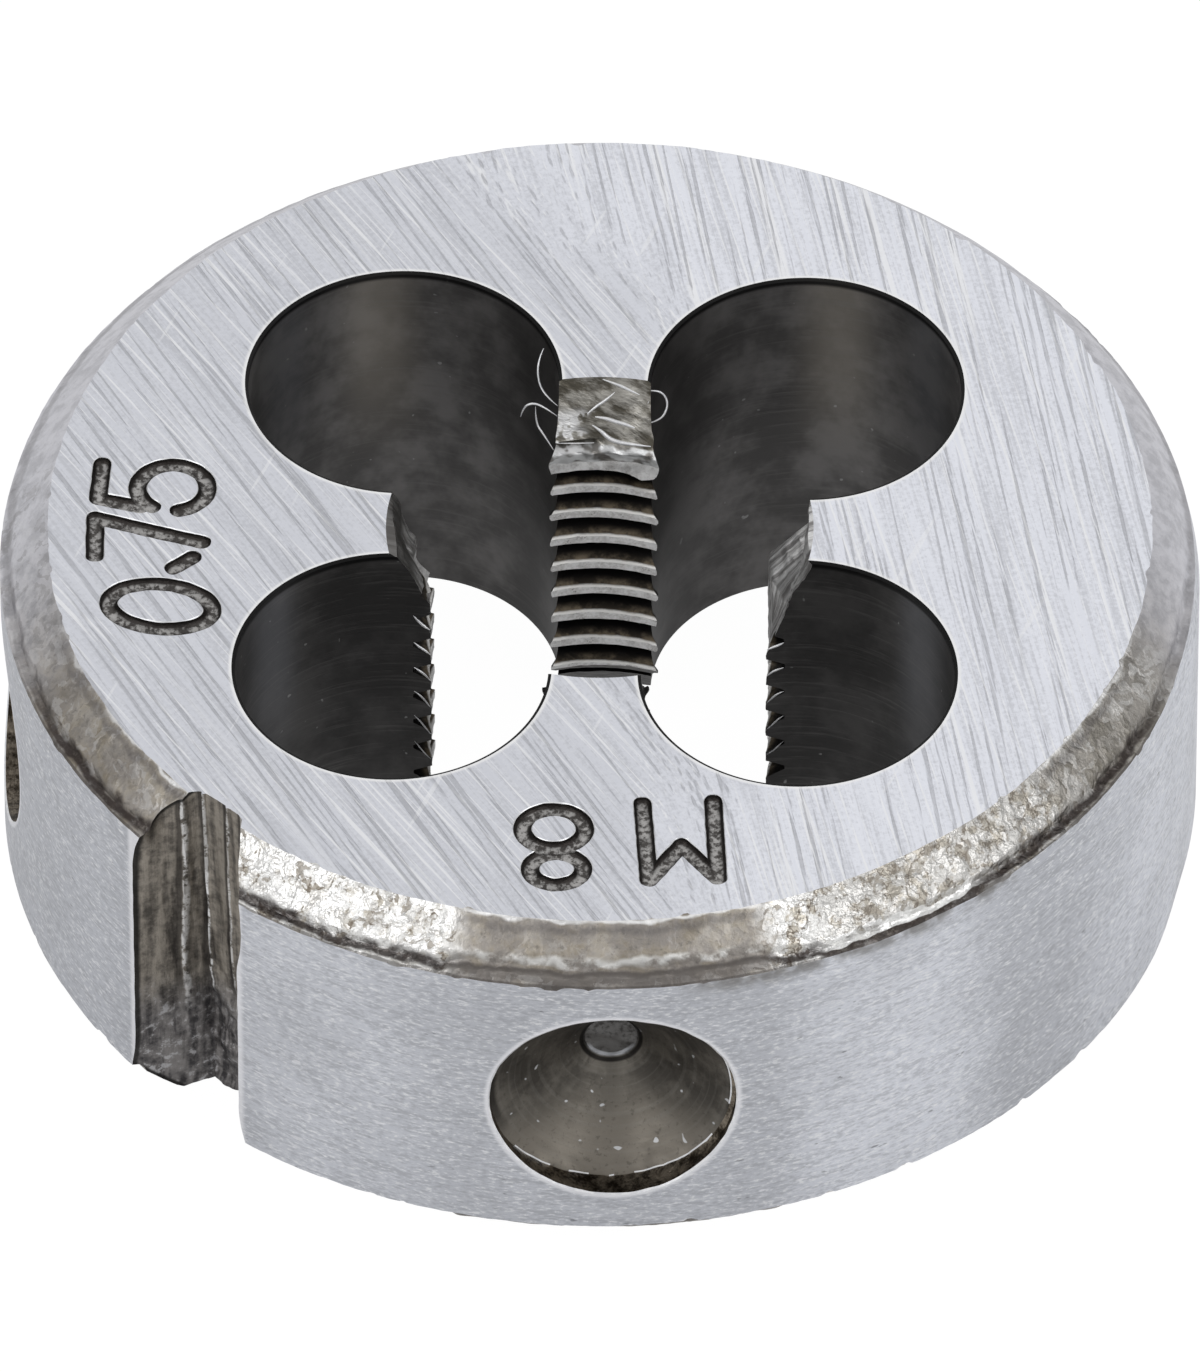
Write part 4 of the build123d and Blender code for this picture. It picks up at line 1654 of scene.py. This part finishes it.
def soft_lamp(name, target, direction, distance, size, power):
    """Square soft lamp at a distance from the target, facing it."""
    light = bpy.data.lights.new(name, "AREA")
    light.size = size
    light.energy = power
    lamp = bpy.data.objects.new(name, light)
    toward = Vector(direction).normalized()
    lamp.location = target + toward * distance
    lamp.rotation_euler = toward.to_track_quat("Z", "Y").to_euler()
    bpy.context.scene.collection.objects.link(lamp)


def aim_camera(studio, middle):
    """Long-lens camera that looks down on the die."""
    azimuth, elevation, roll = studio.camera_azimuth, studio.camera_elevation, studio.camera_roll
    back = Vector(
        (
            math.sin(azimuth) * math.cos(elevation),
            -math.cos(azimuth) * math.cos(elevation),
            math.sin(elevation),
        )
    )
    level = Vector((math.cos(azimuth), math.sin(azimuth), 0))
    upright = back.cross(level)
    right = level * math.cos(roll) + upright * math.sin(roll)
    up = upright * math.cos(roll) - level * math.sin(roll)
    data = bpy.data.cameras.new("camera")
    data.lens = studio.lens
    data.sensor_width = 36
    data.clip_start = 0.01
    camera = bpy.data.objects.new("camera", data)
    place = Matrix((right, up, back)).transposed().to_4x4()
    place.translation = middle + back * studio.camera_distance - up * studio.camera_rise
    camera.matrix_world = place
    bpy.context.scene.collection.objects.link(camera)
    return camera


class DIE_PT_panel(bpy.types.Panel):
    """Sidebar panel of the die"""

    bl_idname = "DIE_PT_panel"
    bl_label = "Round threading die"
    bl_space_type = "VIEW_3D"
    bl_region_type = "UI"
    bl_category = "Die"

    def draw(self, context):
        layout = self.layout
        for operator in PIECES:
            layout.operator(operator)
        for group in (context.scene.die_shape, context.scene.die_finish, context.scene.die_studio):
            box = layout.box()
            for name in group.__annotations__:
                box.prop(group, name)


PIECES = ("die.body", "die.burrs", "die.studio")
GROUPS = {"die_shape": DieShape, "die_finish": DieFinish, "die_studio": DieStudio}
CLASSES = (*GROUPS.values(), DIE_OT_body, DIE_OT_burrs, DIE_OT_studio, DIE_PT_panel)


def register():
    for item in CLASSES:
        bpy.utils.register_class(item)
    for name, group in GROUPS.items():
        setattr(bpy.types.Scene, name, PointerProperty(type=group))


def unregister():
    for name in GROUPS:
        delattr(bpy.types.Scene, name)
    for item in reversed(CLASSES):
        bpy.utils.unregister_class(item)


def main():
    register()
    scene = bpy.context.scene
    scene.view_settings.view_transform = "Standard"
    bpy.ops.die.body()
    bpy.ops.die.burrs()
    bpy.ops.die.studio()


if __name__ == "__main__":
    main()
